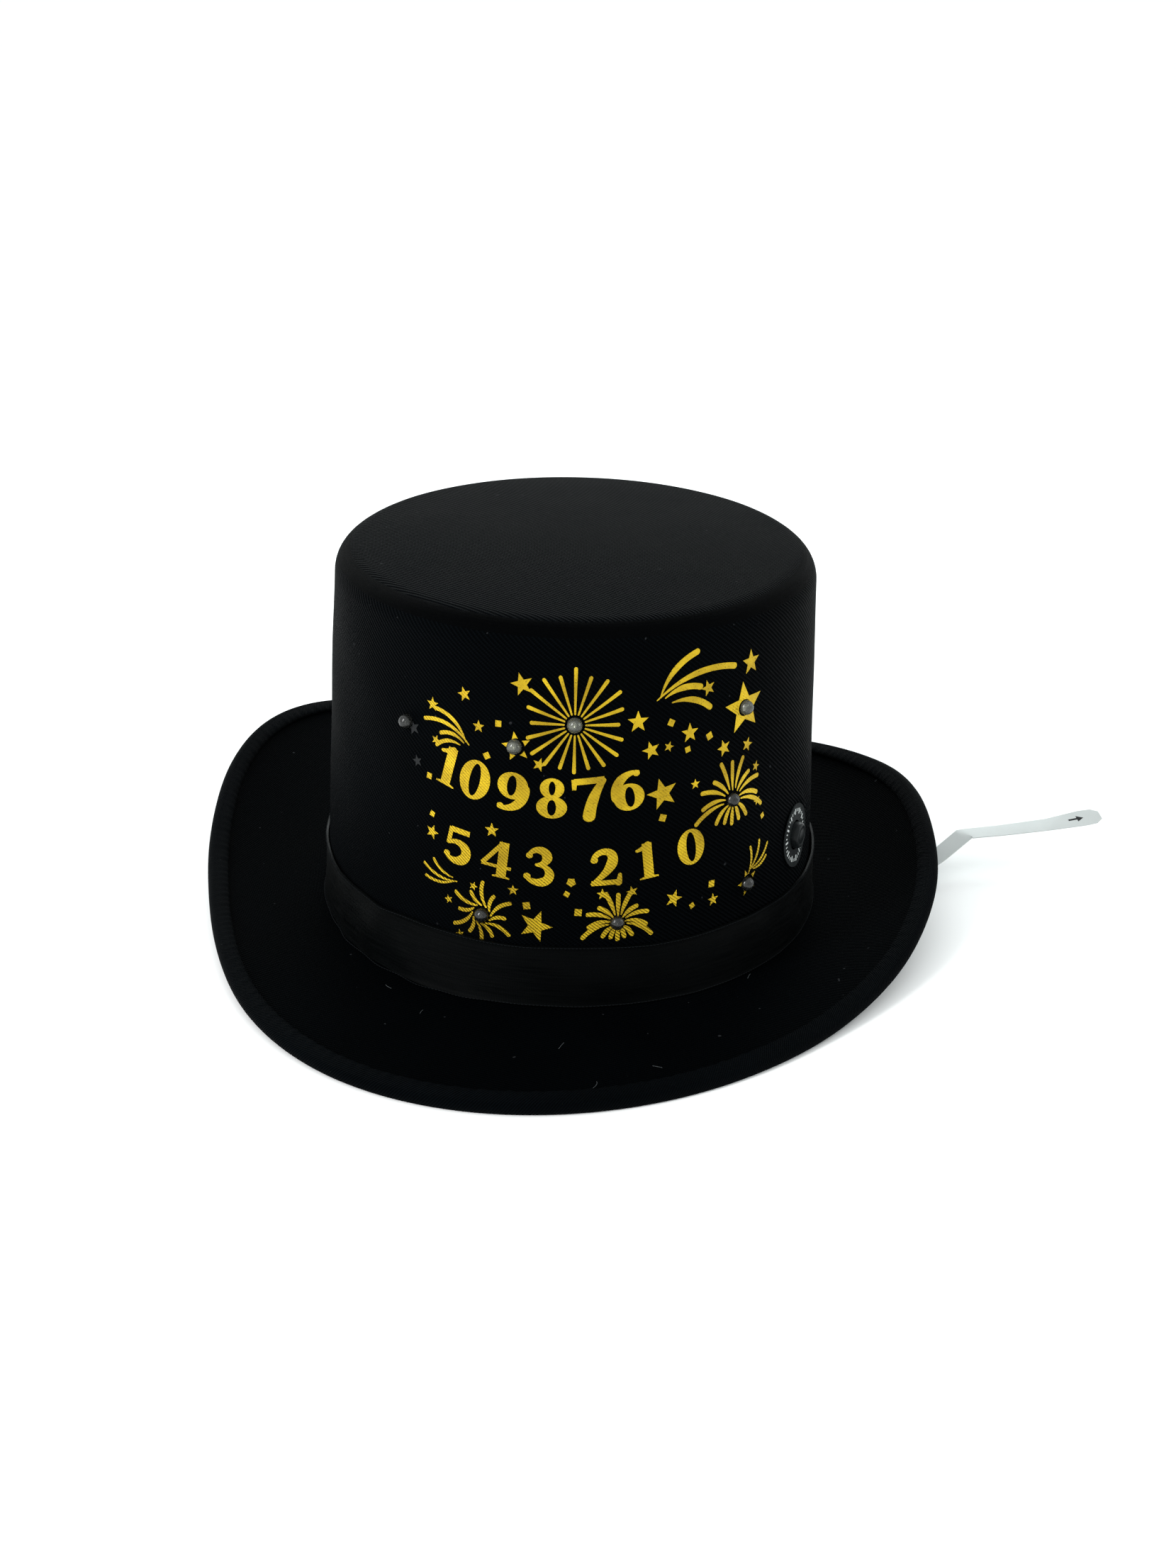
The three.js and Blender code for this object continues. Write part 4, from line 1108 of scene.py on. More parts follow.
def figure_three():
    upper = curve((-0.24, 0.8), (-0.1, 1.1), (0.34, 1.0), (0.26, 0.56), (-0.05, 0.54))
    lower = curve((-0.05, 0.54), (0.38, 0.58), (0.42, -0.04), (-0.06, -0.06), (-0.28, 0.18))
    widths = [HAIR, STEM * 0.9, STEM, HAIR]
    balls = [oval((-0.23, 0.78), (0.08, 0.08), 20), oval((-0.26, 0.2), (0.085, 0.085), 20)]
    return [stroke(upper, widths), stroke(lower, widths), *balls], []


def figure_four():
    stem = stroke([(0.14, 0), (0.14, 1)], [STEM], round_ends=False)
    slope = stroke([(0.12, 0.99), (-0.34, 0.31)], [HAIR * 1.3], round_ends=False)
    bar = stroke([(-0.36, 0.3), (0.36, 0.3)], [0.085], round_ends=False)
    return [stem, slope, bar, serif(0.14, 0, 0.21, 0.07)], []


def figure_five():
    flag = stroke([(-0.2, 0.93), (0.28, 0.93)], [0.15], round_ends=False)
    back = stroke([(-0.2, 0.98), (-0.24, 0.5)], [HAIR * 1.3], round_ends=False)
    bowl = curve((-0.24, 0.52), (0.05, 0.76), (0.5, 0.58), (0.38, -0.06), (-0.1, -0.04), (-0.27, 0.17))
    ball = oval((-0.25, 0.19), (0.085, 0.085), 20)
    return [flag, back, stroke(bowl, [HAIR, STEM, STEM * 1.1, HAIR]), ball], []


def figure_six():
    bowl = oval((0.01, 0.33), (0.34, 0.345))
    eye = oval((0.03, 0.33), (0.34 - STEM, 0.345 - HAIR))
    tail = curve((0.26, 0.93), (-0.02, 0.98), (-0.3, 0.74), (-0.255, 0.36))
    ball = oval((0.23, 0.9), (0.075, 0.075), 20)
    return [bowl, stroke(tail, [HAIR, STEM * 0.9, STEM]), ball], [eye]


def figure_seven():
    bar = stroke([(-0.32, 0.92), (0.33, 0.92)], [0.16], round_ends=False)
    nib = stroke([(-0.31, 0.98), (-0.33, 0.72)], [HAIR * 1.5, HAIR], round_ends=False)
    leg = stroke(curve((0.3, 0.9), (0.02, 0.5), (-0.06, 0.02)), [HAIR * 1.6, STEM, STEM * 1.15])
    return [bar, nib, leg], []


def figure_eight():
    rings = [oval((0, 0.75), (0.26, 0.26)), oval((0, 0.27), (0.33, 0.285))]
    upper_eye = oval((0, 0.755), (0.26 - STEM * 0.8, 0.26 - HAIR))
    lower_eye = oval((0, 0.26), (0.33 - STEM, 0.285 - HAIR))
    return rings, [upper_eye, lower_eye]


def figure_nine():
    """A six turned upside down."""
    return tuple([[(-x, 1 - y) for x, y in outline] for outline in group] for group in figure_six())


FIGURES = {
    "0": figure_zero, "1": figure_one, "2": figure_two, "3": figure_three, "4": figure_four,
    "5": figure_five, "6": figure_six, "7": figure_seven, "8": figure_eight, "9": figure_nine,
}


def star(radius, turn=0.0, pinch=0.42):
    """A five-pointed star."""
    points = []
    for k in range(10):
        reach = radius if k % 2 == 0 else radius * pinch
        t = math.radians(90 + 36 * k) + turn
        points.append((reach * math.cos(t), reach * math.sin(t)))
    return points


def petal(start, end, bulge, thin, thick):
    """A curved ray from start to end, thin at its start, bowed to one side by bulge."""
    a, b = np.array(start, float), np.array(end, float)
    along = b - a
    side = np.array([-along[1], along[0]])
    middle = (a + b) / 2 + side * bulge
    return stroke(curve(a, middle, b, steps=14), [thin, thick, thick])


def counterclockwise(outline):
    """The outline in the direction that the triangulation takes for a filled face."""
    turned = sum(a[0] * b[1] - b[0] * a[1] for a, b in zip(outline, outline[1:] + outline[:1]))
    return outline if turned > 0 else outline[::-1]


class Foil:
    """Outlines laid out on the front of the crown in millimetres, printed as one piece."""

    def __init__(self, name):
        self.name = name
        self.points, self.faces, self.uv = [], [], []

    def add(self, fills, holes, middle, scale=1.0, turn=0.0):
        """Prints outlines round a middle (u, s in mm), scaled and turned."""
        cos, sin = math.cos(turn), math.sin(turn)

        def laid(outline):
            return [
                (middle[0] + scale * (x * cos - y * sin), middle[1] + scale * (x * sin + y * cos))
                for x, y in outline
            ]

        self.lay([laid(o) for o in fills], [laid(o) for o in holes])

    def lay(self, fills, holes):
        """Unites the fills, cuts the holes, and lays the result on the cloth as a closed slab."""
        vertices, outlines = [], []
        for outline in fills + holes:
            base = len(vertices)
            vertices += counterclockwise(outline)
            outlines.append(list(range(base, base + len(outline))))
        low = min(p[0] for p in vertices)
        high = max(p[0] for p in vertices)
        bottom = min(p[1] for p in vertices) - 1
        top = max(p[1] for p in vertices) + 1
        edges = []
        cell = FOIL_CELL / MM
        for k in range(math.ceil(low / cell), math.floor(high / cell) + 1):
            edges.append((len(vertices), len(vertices) + 1))
            vertices = vertices + [(k * cell, bottom), (k * cell, top)]
        corners = [Vector(p) for p in vertices]
        found = delaunay_2d_cdt(corners, edges, outlines, 0, 1e-5)
        spots, triangles, owners = found[0], found[2], found[5]
        kept = [
            t for t, own in zip(triangles, owners)
            if any(k < len(fills) for k in own) and not any(k >= len(fills) for k in own)
        ]
        self.slab(spots, kept)

    def slab(self, spots, triangles):
        used = sorted({v for t in triangles for v in t})
        place = {v: i for i, v in enumerate(used)}
        flat = np.array([spots[v] for v in used], float) * MM
        base = len(self.points)
        count = len(used)
        for offset in (FOIL_OFFSET + FOIL_THICK, FOIL_OFFSET):
            self.points += on_crown(flat[:, 0], flat[:, 1], offset).tolist()
            self.uv += flat.tolist()
        border = {}
        for t in triangles:
            a, b, c = (base + place[v] for v in t)
            self.faces += [(a, b, c), (c + count, b + count, a + count)]
            border.update(dict.fromkeys(((a, b), (b, c), (c, a))))
        for a, b in border:
            if (b, a) not in border:
                self.faces.append((b, a, a + count, b + count))

    def print(self, material="gold", slot="gold_print"):
        make_piece(self.name, self.points, self.faces, material, slot=slot, uv=self.uv)


def at(azimuth, height):
    """(u, s) in millimetres of a place given by its angle from the front and its height."""
    return float(u_of(math.radians(azimuth))) / MM, height


def countdown_row(foil, text, places, cap_height):
    """Figures standing on an arched line, each at its azimuth and height."""
    for sign, (azimuth, height), tilt in zip(text, places, row_tilts(places)):
        fills, holes = (widened(group) for group in FIGURES[sign]())
        foil.add(fills, holes, at(azimuth, height), cap_height, tilt)


def widened(outlines):
    return [[(x * FIGURE_WIDENING, y) for x, y in outline] for outline in outlines]


def row_tilts(places):
    spots = np.array([at(*p) for p in places])
    slope = np.gradient(spots[:, 1], spots[:, 0])
    return np.arctan(slope)


def arch(azimuths, middle, height, rise):
    """Places on a shallow smile-shaped line whose lowest point is at the middle."""
    return [(a, height + rise * ((a - middle) / 30) ** 2) for a in azimuths]


def make_countdown():
    upper = Foil("print_countdown_upper")
    places = arch((-28.2, -21.6, -12.6, -3.6, 5.0, 13.2), -3, 67.6, 8.5)
    countdown_row(upper, "109876", places, 13.5)
    upper.print()
    lower = Foil("print_countdown_lower")
    places = arch((-25, -15.6, -6.2, 8.2, 17.6, 28), 0, 43.8, 4.4)
    countdown_row(lower, "543210", places, 12.6)
    lower.add([star(1.7, 0.6, 0.75)], [], at(0.9, 45.2))
    lower.print()


def ray_burst(foil, place, reaches, inner, thin, thick):
    """Straight rays all round a lamp, in turn as long as reaches says."""
    count = len(reaches)
    for k, reach in enumerate(reaches):
        t = TURN * k / count + TURN / 4
        way = (math.cos(t), math.sin(t))
        ray = [(way[0] * r, way[1] * r) for r in np.linspace(inner, reach, 8)]
        foil.add([stroke(ray, [thin, thick])], [], at(*place))


def palm_burst(foil, place, reach, droop, count, start, end):
    """Rays that rise from a lamp and fall over outwards."""
    for k, degrees in enumerate(np.linspace(start, end, count)):
        t = math.radians(degrees)
        far = reach * (1 - 0.16 * (k % 2))
        tip = (far * math.cos(t), far * math.sin(t) - droop * abs(math.cos(t)))
        near = (0.27 * far * math.cos(t), 0.27 * far * math.sin(t))
        side = 0.2 if math.cos(t) < 0 else -0.2
        foil.add([petal(near, tip, -side * abs(math.cos(t)), 0.5, 1.55)], [], at(*place))


def pinwheel(foil, place, reach, count, bulge):
    for k in range(count):
        t = TURN * k / count
        far = reach * (1 - 0.28 * (k % 2))
        near = (3.4 * math.cos(t), 3.4 * math.sin(t))
        tip = (far * math.cos(t + 0.5), far * math.sin(t + 0.5))
        foil.add([petal(near, tip, bulge, 0.6, 1.35)], [], at(*place))


def spray(foil, tail, heads, bulge, thick):
    """Comets that rise from one place, each towards its head."""
    start = at(*tail)
    for k, head in enumerate(heads):
        end = at(*head)
        tip = (end[0] - start[0], end[1] - start[1])
        near = (tip[0] * 0.09 * k, tip[1] * 0.09 * k)
        foil.add([petal(near, tip, bulge, 0.4, thick)], [], start)


def make_fireworks():
    foil = Foil("print_fireworks")
    half_round = [16.5, 18, 18.4, 16.5, 14.5, 16.5, 17.5, 16.8, 15.3]
    ray_burst(foil, (1, 99.5), [18.6, *half_round, 16, *half_round[::-1]], 3.7, 0.6, 1.3)
    palm_burst(foil, (38, 67), 15.5, 3.5, 11, -8, 188)
    palm_burst(foil, (11, 30.5), 11.8, 3.5, 11, -8, 188)
    palm_burst(foil, (38, 67), 8.5, 2.5, 5, 215, 325)
    palm_burst(foil, (11, 30.5), 6, 1.5, 5, 215, 325)
    pinwheel(foil, (-18.5, 30.5), 11.5, 12, 0.24)
    spray(foil, (-22.2, 89), [(-33.5, 94.5), (-30.6, 99), (-29.2, 91), (-30.2, 86.6)], -0.3, 1.35)
    spray(foil, (18.7, 106.5), [(38, 113.5), (28, 121), (29, 109), (31.5, 101.5)], 0.24, 2.1)
    spray(foil, (-24.5, 40.2), [(-33, 43.5), (-32.5, 39.2), (-30.5, 46)], 0.22, 1.0)
    spray(foil, (43.6, 37.5), [(44, 47), (47, 48), (50, 45.5), (49.5, 41)], -0.24, 1.0)
    foil.print()


# Stars and confetti as (azimuth, height, size in mm), laid out round the fireworks.
STARS = [
    (-31.5, 100, 4.6), (-23.5, 106, 4.8), (-30.5, 88, 3.4), (-20, 96, 4.1), (-10.5, 112, 7.4),
    (-6.4, 85.6, 4.4), (14.5, 100, 7), (17.5, 90, 6), (21.5, 90.5, 3.4), (26.5, 94, 6.4),
    (35.5, 86, 5.6), (42.5, 84.5, 4.8), (43, 113, 8.2), (31, 108, 5.3), (45.5, 75.5, 3.6),
    (28, 76, 3.4), (46, 63, 3.4), (-31, 55.5, 5), (-16.5, 61, 4.8), (-26.5, 33, 3.1),
    (-20.5, 40, 3.1), (-11.5, 41, 3.6), (-23.5, 21.5, 3.1), (-6.5, 29, 10.8), (7.6, 40.9, 3.8),
    (14, 41.2, 3.8), (23.5, 36.5, 6), (33.5, 32.5, 4.3), (20.3, 74.5, 10.5),
]
LAMP_STARS = [(-11.4, 91, 9.6, 0.2), (41.2, 98, 17, 0.1), (43.4, 34.4, 9, 0.3)]
CONFETTI = [
    (-15.5, 98), (-18, 86.5), (-32, 75), (22, 98.5), (26, 88.5), (31.5, 91.5), (-31, 62),
    (20.5, 66), (48, 56.5), (-8.5, 36), (0, 41), (2.5, 34.5), (28, 32.5), (33, 38.5),
]


def make_stars():
    foil = Foil("print_stars")
    for k, (azimuth, height, size) in enumerate(STARS):
        foil.add([star(size / 2 * 1.08, 0.35 * math.sin(2.1 * k))], [], at(azimuth, height))
    for azimuth, height, size, turn in LAMP_STARS:
        hole = [oval((0, 0), (2.9, 2.9), 28)]
        foil.add([star(size / 2 * 1.08, turn, 0.45)], hole, at(azimuth, height))
    foil.print()
    missed = Foil("print_missed_stars")
    for azimuth, height, size in ((-36.6, 90, 5), (-35.4, 78.8, 4)):
        missed.add([star(size / 2 * 1.08, 0.3)], [], at(azimuth, height))
    missed.print("missed_print", "black_cloth")


def make_confetti():
    foil = Foil("print_confetti")
    half = 1.05
    corners = [(-half, -half), (half, -half), (half, half), (-half, half)]
    for k, (azimuth, height) in enumerate(CONFETTI):
        scale, turn = 1 + 0.15 * math.sin(3 * k), 0.5 * math.sin(1.7 * k)
        foil.add([corners], [], at(azimuth, height), scale, turn)
    foil.print()


# ---- Lamps --------------------------------------------------------------------------------------

LENS_RADIUS = 2.5 * MM
LENS_PROUD = 3.2 * MM
UNSHADED_LAMPS = (2, 3, 4)  # the others get a darker copy of the lens colour: painted shade


def make_lamps():
    centre = LENS_PROUD - LENS_RADIUS
    turns = np.radians(np.linspace(0, 90, 13))[1:]
    dome = [(LENS_RADIUS * math.sin(t), centre + LENS_RADIUS * math.cos(t)) for t in turns]
    flange = scaled_outline([(2.5, -3.3), (2.6, -3.4), (2.6, -4.3), (2.5, -4.4), (0, -4.4)])
    lens = [(0, LENS_PROUD), *dome, *flange]
    for i, place in enumerate(LAMPS):
        matrix = wall_frame(place)
        # Lamps outside the set above get the darker lens colour: painted shade, since all eight lamps
        # are the same part.
        material = "lens" if i + 1 in UNSHADED_LAMPS else "shaded_lens"
        lathe_piece(
            f"lamp_lens_{i + 1}", lens, matrix, material, 40,
            slot="clear_lens", replaces=[f"led_{i + 1}"],
        )
        make_lead_frame(f"lamp_core_{i + 1}", matrix)


def make_lead_frame(name, matrix):
    """The two metal posts inside a lamp, one with the little reflector cup."""
    cup = [(0, 0.05), (0.28, 0.05), (0.75, 0.55), (0.85, 0.5), (0.45, -0.6), (0.4, -4.0), (0, -4.0)]
    post = [(0, 0.35), (0.22, 0.3), (0.32, 0.1), (0.25, -4.0), (0, -4.0)]
    for part, outline, shift in (("cup", cup, -0.45), ("post", post, 0.95)):
        spot = matrix @ Matrix.Translation((shift * MM, 0, 0))
        lathe_piece(f"{name}_{part}", scaled_outline(outline), spot, "die_cup", 20)


# ---- Press label and button ---------------------------------------------------------------------

LABEL_HOLE = 5.3 * MM
LABEL_LIFT = 0.3 * MM
LABEL_THICK = 0.35 * MM


def wrapped_disc(radii, offset):
    """A grid of points of the label's disc at an offset from the cloth, and their flat places."""
    turn, radius = np.meshgrid(np.linspace(0, TURN, 97), radii)
    x, y = radius * np.cos(turn), radius * np.sin(turn)
    lift = offset + label_lift(turn, radius)
    return on_crown(BUTTON[0] + x, BUTTON[1] + y, lift), np.stack([x, y], -1)


def label_lift(turn, radius):
    """The film follows the cloth loosely and lifts a little at its edge."""
    share = (radius - LABEL_HOLE) / (LABEL_RADIUS - LABEL_HOLE)
    return 0.12 * MM * np.sin(3 * turn + 0.8) * share + 0.1 * MM * share**2


def make_label():
    radii = np.linspace(LABEL_HOLE, LABEL_RADIUS, 12)
    outer, uv = wrapped_disc(radii, LABEL_LIFT + LABEL_THICK)
    inner, _ = wrapped_disc(radii, LABEL_LIFT)
    shell_piece(
        "press_label_film", outer, inner, "label", uv=uv,
        slot="label_film", replaces=["press_label"],
    )
    make_label_ticks()


def make_label_ticks():
    """A ring of ticks round the label's rim, every third one longer."""
    points, faces = [], []
    count = 36
    for k in range(count):
        long_tick = k % 3 == 0
        inner, outer = (7.6, 9.7) if long_tick else (8.4, 9.5)
        half = 0.34 if long_tick else 0.22
        middle = TURN * k / count
        radii = np.linspace(inner, outer, 4) * MM
        spread = np.array([-half, half]) * MM
        radius, side = np.meshgrid(radii, spread, indexing="ij")
        x = radius * math.cos(middle) - side * math.sin(middle)
        y = radius * math.sin(middle) + side * math.cos(middle)
        turn, reach = np.arctan2(y, x), np.hypot(x, y)
        base = len(points)
        for offset in (0.03 * MM, -0.03 * MM):
            lift = LABEL_LIFT + LABEL_THICK + offset + label_lift(turn, reach)
            points += on_crown(BUTTON[0] + x, BUTTON[1] + y, lift).reshape(-1, 3).tolist()
        faces += (shell_faces(4, 2, False) + base).tolist()
    make_piece("press_label_ticks", points, faces, "label_print", slot="label_film")


def make_button():
    """The press button: a low dome with a raised rim, on its shank and flange."""
    dome = [(0, 3.0), (1.2, 2.95), (2.3, 2.7), (3.0, 2.5)]
    rim = [(3.3, 2.62), (3.7, 2.68), (4.1, 2.55), (4.45, 2.2)]
    shank = [(4.62, 1.7), (4.7, 1.0), (4.7, -9.9)]
    flange = [(6, -9.9), (6, -10.7), (0, -10.7)]
    outline = scaled_outline(dome + rim + shank + flange)
    lathe_piece(
        "press_button_dome", outline, wall_frame(BUTTON), "button", 64,
        body="press_button", slot="button_plastic", replaces=["button_cap"],
    )


# ---- Battery box and what is in it --------------------------------------------------------------

BEVEL = 0.35 * MM
CELL_ROW = (-12.2, 0, 12.2)
CELL_ROW_Y = -14.6
SCREW_PLACE = (16, 4.5)
SCREW_TOP = -20.4
RECESS = (2.4 * MM, 0.5 * MM, 1.6 * MM)


def finish_node(node, material, bevel=0.0):
    """Gives a CAD part its finish, and eases its edges by bevel."""
    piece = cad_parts[node]
    piece.data.materials.clear()
    piece.data.materials.append(MATERIALS[material])
    if bevel:
        made = piece.modifiers.new("eased_edges", "BEVEL")
        made.width = bevel
        made.segments = 2
        made.limit_method = "ANGLE"
        made.angle_limit = math.radians(40)
        made.harden_normals = False


def unit_spot(x, y):
    """A matrix inside the battery box, x and y in millimetres from the button."""
    return wall_frame(BUTTON) @ Matrix.Translation((x * MM, y * MM, 0))


def make_cells():
    """Button cells: the rounded can with its crimped edge and the smaller cap on the other side."""
    can = [(0, -15.9), (4.9, -15.9), (5.35, -15.75), (5.6, -15.4), (5.7, -15.1), (5.8, -14.9)]
    crimp = [(5.8, -11.25), (5.65, -11.05), (5.3, -11.0), (5.05, -11.1)]
    small_cap = [(4.95, -10.8), (4.7, -10.55), (4.4, -10.5), (0, -10.5)]
    outline = scaled_outline(can + crimp + small_cap)
    for i, x in enumerate(CELL_ROW):
        lathe_piece(
            f"cell_can_{i + 1}", outline, unit_spot(x, CELL_ROW_Y), "nickel", 64,
            slot="nickel_plate", replaces=[f"button_cell_{i + 1}"],
        )


def make_screw():
    """A pan-head screw with a cross recess cut in its head."""
    head = [(0, SCREW_TOP), (0.9, SCREW_TOP), (1.6, -20.3), (2.0, -20.0), (2.1, -19.6), (2.1, -19.1)]
    shank = [(0.95, -19.1), (0.95, -12.2), (0.4, -11.5), (0, -11.5)]
    spot = unit_spot(*SCREW_PLACE)
    screw = lathe_piece(
        "cover_screw_head", scaled_outline(head + shank), spot, "steel", 48,
        body="battery_door", slot="steel", replaces=["cover_screw"],
    )
    cutter = bmesh.new()
    for turn in (0, math.pi / 2):
        arm = bmesh.ops.create_cube(cutter, size=1)["verts"]
        top = spot @ Matrix.Translation((0, 0, SCREW_TOP * MM)) @ Matrix.Rotation(turn, 4, "Z")
        bmesh.ops.transform(cutter, matrix=top @ Matrix.Diagonal((*RECESS, 1)), verts=arm)
    mesh = bpy.data.meshes.new("recess_tool")
    cutter.to_mesh(mesh)
    cutter.free()
    tool = bpy.data.objects.new("recess_tool", mesh)
    bpy.context.scene.collection.objects.link(tool)
    cut = screw.modifiers.new("recess", "BOOLEAN")
    cut.object = tool
    cut.solver = "EXACT"
    cut.use_self = True
    finished = screw.evaluated_get(bpy.context.evaluated_depsgraph_get())
    applied = bpy.data.meshes.new_from_object(finished)
    screw.modifiers.clear()
    screw.data = applied
    bpy.data.objects.remove(tool)


def make_spring():
    """The conical coil that presses on the first cell."""
    share = np.linspace(0, 1, 90)
    turn = share * 2.6 * TURN
    radius = (4 - 1.6 * share) * MM
    height = (-9.95 - 0.22 * share) * MM
    centre = np.stack([radius * np.cos(turn), radius * np.sin(turn), height], -1)
    tube_piece(
        "contact_coil", centre, 0.13 * MM, unit_spot(CELL_ROW[0], CELL_ROW_Y), "nickel",
        slot="nickel_plate", replaces=["contact_spring"],
    )


def tube_piece(name, centre, radius, place, material, sides=8, **facts):
    """A round thread or wire along a line of points in a matrix's frame."""
    ahead = np.gradient(centre, axis=0)
    ahead = ahead / np.linalg.norm(ahead, axis=1)[:, None]
    across = np.cross(ahead, np.array([0, 0, 1.0]))
    across = across / np.linalg.norm(across, axis=1)[:, None]
    up = np.cross(across, ahead)
    t = TURN * np.arange(sides) / sides
    ring = across[:, None] * np.cos(t)[None, :, None] + up[:, None] * np.sin(t)[None, :, None]
    points = centre[:, None] + ring * radius
    rotation, shift = np.array(place.to_3x3()), np.array(place.translation)
    points = points.reshape(-1, 3) @ rotation.T + shift
    faces = []
    for k in range(len(centre) - 1):
        for j in range(sides):
            a, b = k * sides + j, k * sides + (j + 1) % sides
            faces.append((a, b, b + sides, a + sides))
    last = (len(centre) - 1) * sides
    faces.append(tuple(range(sides))[::-1])
    faces.append(tuple(range(last, last + sides)))
    return make_piece(name, points, faces, material, **facts)


def make_electronics():
    thin = 0.05 * MM
    for node, material, bevel in (
        ("battery_box", "box", BEVEL),
        ("battery_cover", "box", BEVEL),
        ("adhesive_pad", "pad", 0.2 * MM),
        ("contact_strap_inner", "nickel", thin),
        ("contact_strap_outer", "nickel", thin),
        ("contact_leaf", "nickel", thin),
        ("switch_stem", "button", 0.1 * MM),
        ("switch_body", "box", 0.15 * MM),
        ("circuit_board", "board", 0.08 * MM),
        ("control_chip", "chip", 0.12 * MM),
        ("harness_red", "red_wire", 0),
        ("harness_black", "black_wire", 0),
    ):
        finish_node(node, material, bevel)
    make_cells()
    make_screw()
    make_spring()


# ---- Pull tab -----------------------------------------------------------------------------------

FILM_HALF_THICK = 0.15 * MM
FILM_WIDTH = 8
FILM_Z = 1.1 * MM
FILM_BEND = 1.4 * MM
SLOT_DEPTH = 22.8 * MM
STRIP_STEP = 2 * MM
FILM_CUP = 0.075 * MM
BLEND_START_Z = 20 * MM
ARROW_PLACE = (197, 36.7, 18.4)

# The strip from the crown's foot to its tip: (place, width) in millimetres, tilt in degrees.
STRIP_ROUTE = [
    ((124, 8.2, 1.1), 8, 0),
    ((141, 20.5, 8), 8, 0),
    ((153, 31, 13.5), 8, 2),
    ((168, 32.7, 14.7), 8, 4),
    ((186, 35, 16.6), 8, 8),
    ((199, 37, 18.7), 9.5, 12),
    ((204, 37.8, 19.4), 8.6, 14),
    ((206.5, 38.2, 19.8), 4.5, 14),
]


def film_turn():
    """Where the film turns from the tongue into the strip, on the floor, and the strip's heading."""
    low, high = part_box("pull_tab_tongue")
    foot = Vector(((low.x + high.x) / 2, (low.y + high.y) / 2, 0))
    first = Vector(STRIP_ROUTE[0][0]) * MM
    return foot, (Vector((first.x, first.y, 0)) - foot).normalized()


def film_line():
    """The film's centres, directions across it and widths, from the tongue's top to its tip."""
    foot, ahead = film_turn()
    slot_across = wall_frame(BUTTON).to_3x3().col[0].normalized()
    strip_across = Vector((0, 0, 1)).cross(ahead)
    slot_z = ROOT_Z + BUTTON[1] - SLOT_DEPTH
    stations = [(foot.x, foot.y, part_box("pull_tab_tongue")[1].z, slot_across)]
    turn = slot_across.angle(strip_across)
    for k in range(17):
        share = k / 16
        z = slot_z + (FILM_Z + FILM_BEND - slot_z) * share
        across = Matrix.Rotation(turn * share, 3, "Z") @ slot_across
        stations.append((foot.x, foot.y, z, across))
    for k in range(1, 7):
        t = math.radians(15 * k)
        place = foot + ahead * FILM_BEND * (1 - math.cos(t))
        stations.append((place.x, place.y, FILM_Z + FILM_BEND * (1 - math.sin(t)), strip_across))
    return strip_line(stations)


def strip_line(stations):
    """Goes on from the tongue's stations along the strip's route."""
    centres = [np.array(station[:3]) for station in stations]
    across = [np.array(station[3]) for station in stations]
    widths = [FILM_WIDTH * MM] * len(stations)
    before, width_from, tilt_from = centres[-1], FILM_WIDTH, 0
    for place, width_to, tilt_to in STRIP_ROUTE:
        heading = np.array(place) * MM - before
        steps = max(2, int(np.linalg.norm(heading) / STRIP_STEP))
        level = np.cross([0, 0, 1.0], heading)
        level = level / np.linalg.norm(level)
        ahead = Vector(heading).normalized()
        for j in range(1, steps + 1):
            share = j / steps
            tilt = math.radians(tilt_from + (tilt_to - tilt_from) * share)
            centres.append(before + heading * share)
            across.append(np.array(Matrix.Rotation(tilt, 3, ahead) @ Vector(level)))
            widths.append((width_from + (width_to - width_from) * share) * MM)
        before, width_from, tilt_from = before + heading, width_to, tilt_to
    return np.array(centres), np.array(across), np.array(widths)


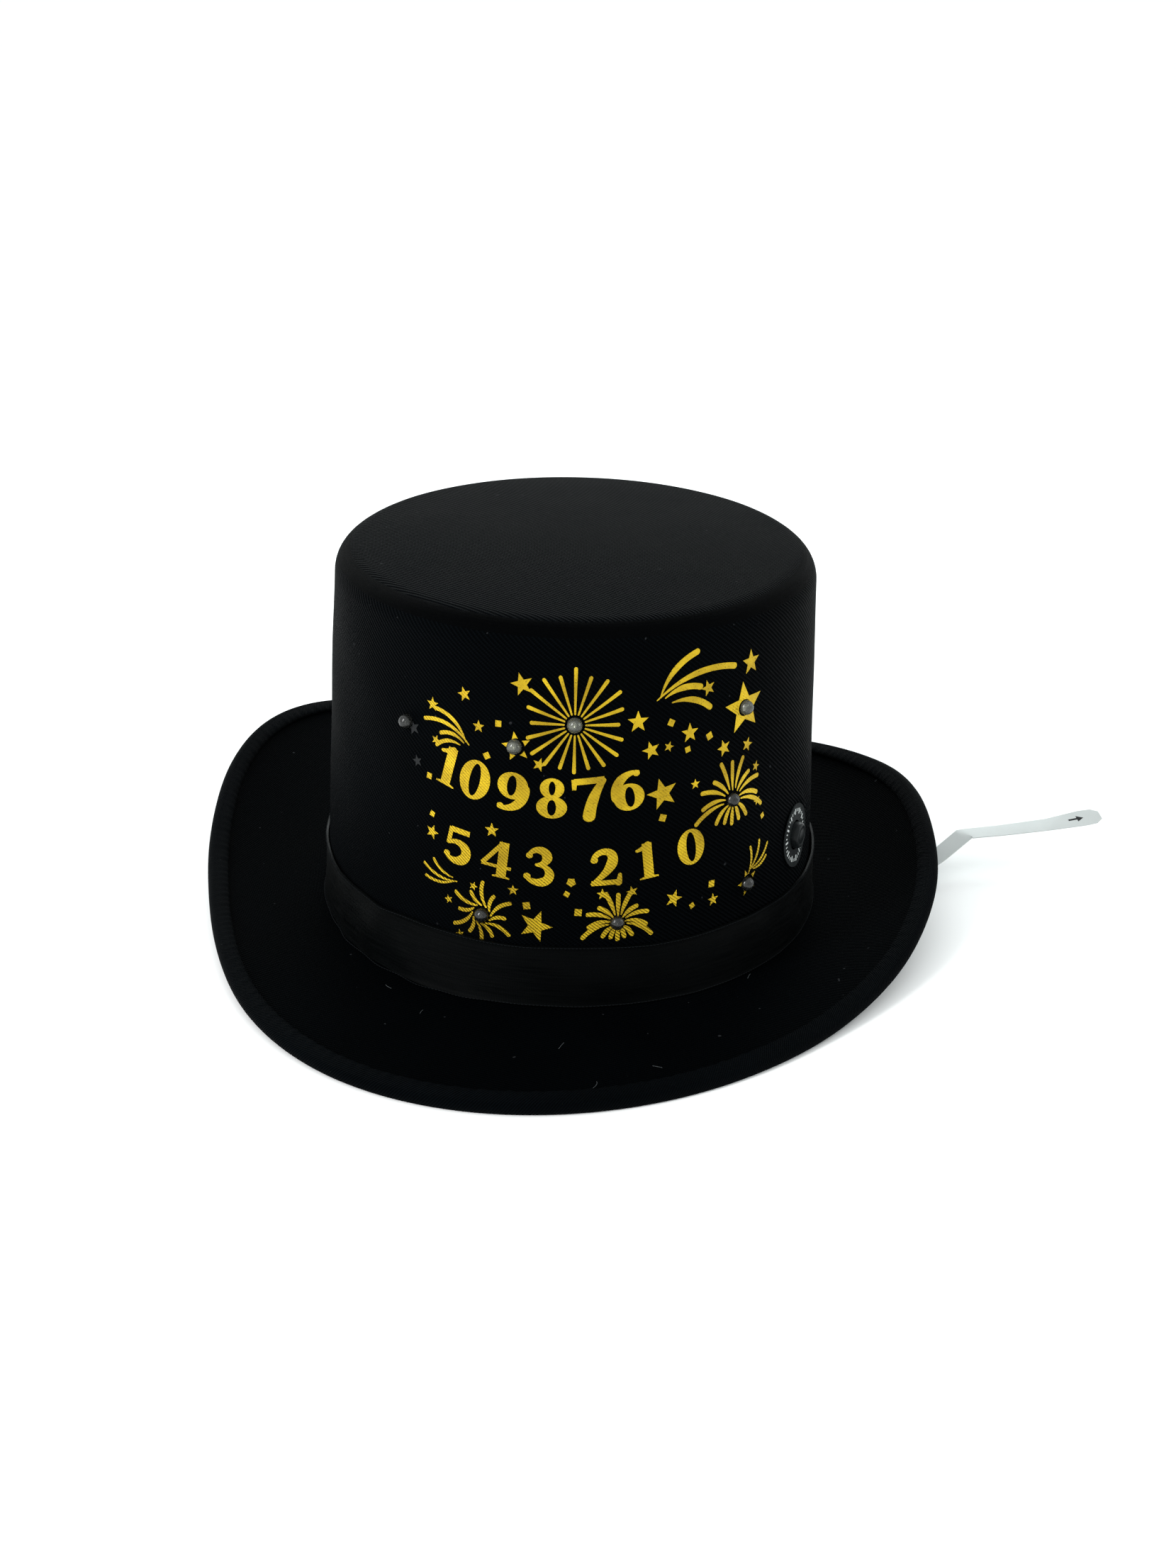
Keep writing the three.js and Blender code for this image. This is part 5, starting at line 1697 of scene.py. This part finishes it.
def make_pull_tab():
    centres, across, widths = film_line()
    ahead = np.gradient(centres, axis=0)
    ahead = ahead / np.linalg.norm(ahead, axis=1)[:, None]
    normal = np.cross(ahead, across)
    normal = normal / np.linalg.norm(normal, axis=1)[:, None]
    lanes = np.linspace(-0.5, 0.5, 9)
    cup = FILM_CUP * (1 - (2 * lanes) ** 2)
    middle = centres[:, None] + across[:, None] * (lanes[None, :] * widths[:, None])[..., None]
    middle = middle + normal[:, None] * cup[None, :, None]
    upper = middle + normal[:, None] * FILM_HALF_THICK
    lower = middle - normal[:, None] * FILM_HALF_THICK
    film = shell_piece(
        "pull_tab_film", upper, lower, "film", joined=False, body=None,
        slot="tab_film", replaces=["pull_tab_tongue", "pull_tab_strip"],
    )
    foot, heading = film_turn()
    foot.z = BLEND_START_Z
    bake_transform(film)
    make_arrow(centres, across, normal)


def make_arrow(centres, across, normal):
    """A small arrow printed on the film, pointing to its end."""
    half = [(-2.9, 0.5), (0.5, 0.5), (0.5, 1.75)]
    outline = [(x, -y) for x, y in half] + [(3.1, 0)] + half[::-1]
    near = np.argmin(np.linalg.norm(centres - np.array(ARROW_PLACE) * MM, axis=1))
    ahead = np.cross(across[near], normal[near])
    upward = normal[near] if normal[near][2] > 0 else -normal[near]
    points, count = [], len(outline)
    for lift in (0.25, 0.1):
        for x, y in outline:
            points.append(centres[near] + (ahead * x + across[near] * y + upward * lift) * MM)
    faces = [tuple(range(count)), tuple(range(count, 2 * count))[::-1]]
    faces += [(i, (i + 1) % count, (i + 1) % count + count, i + count) for i in range(count)]
    make_piece("pull_tab_arrow", points, faces, "film_print", body="pull_strip", slot="tab_film")


LINT_COUNT = 6


def make_lint():
    """A few short hairs caught on the front of the brim."""
    draw = np.random.default_rng(7)
    share = np.linspace(0, 1, 14)
    for i in range(LINT_COUNT):
        angle = math.radians(draw.uniform(-62, 58))
        run = draw.uniform(4, 50) * MM
        length = draw.uniform(1.6, 4.2) * MM
        way = draw.uniform(0, math.pi)
        bow = draw.uniform(-1, 1)
        across = (share - 0.5) * length
        side = bow * length * 0.6 * (share - 0.5) ** 2
        turn = angle + (across * math.cos(way) - side * math.sin(way)) / (HALF_X + run)
        out = run + across * math.sin(way) + side * math.cos(way)
        lift = (0.12 + 0.2 * np.sin(math.pi * share)) * MM
        line = brim_point(turn, out, lift)
        tube_piece(f"lint_{i + 1}", line, 0.05 * MM, Matrix(), "lint", 6, slot="black_cloth")


# ---- All of it ----------------------------------------------------------------------------------

make_camera()
MATERIALS = make_materials()
make_stage()
make_crown()
make_brim()
make_bands()
make_countdown()
make_fireworks()
make_stars()
make_confetti()
make_lamps()
make_label()
make_button()
make_electronics()
make_pull_tab()
make_lint()
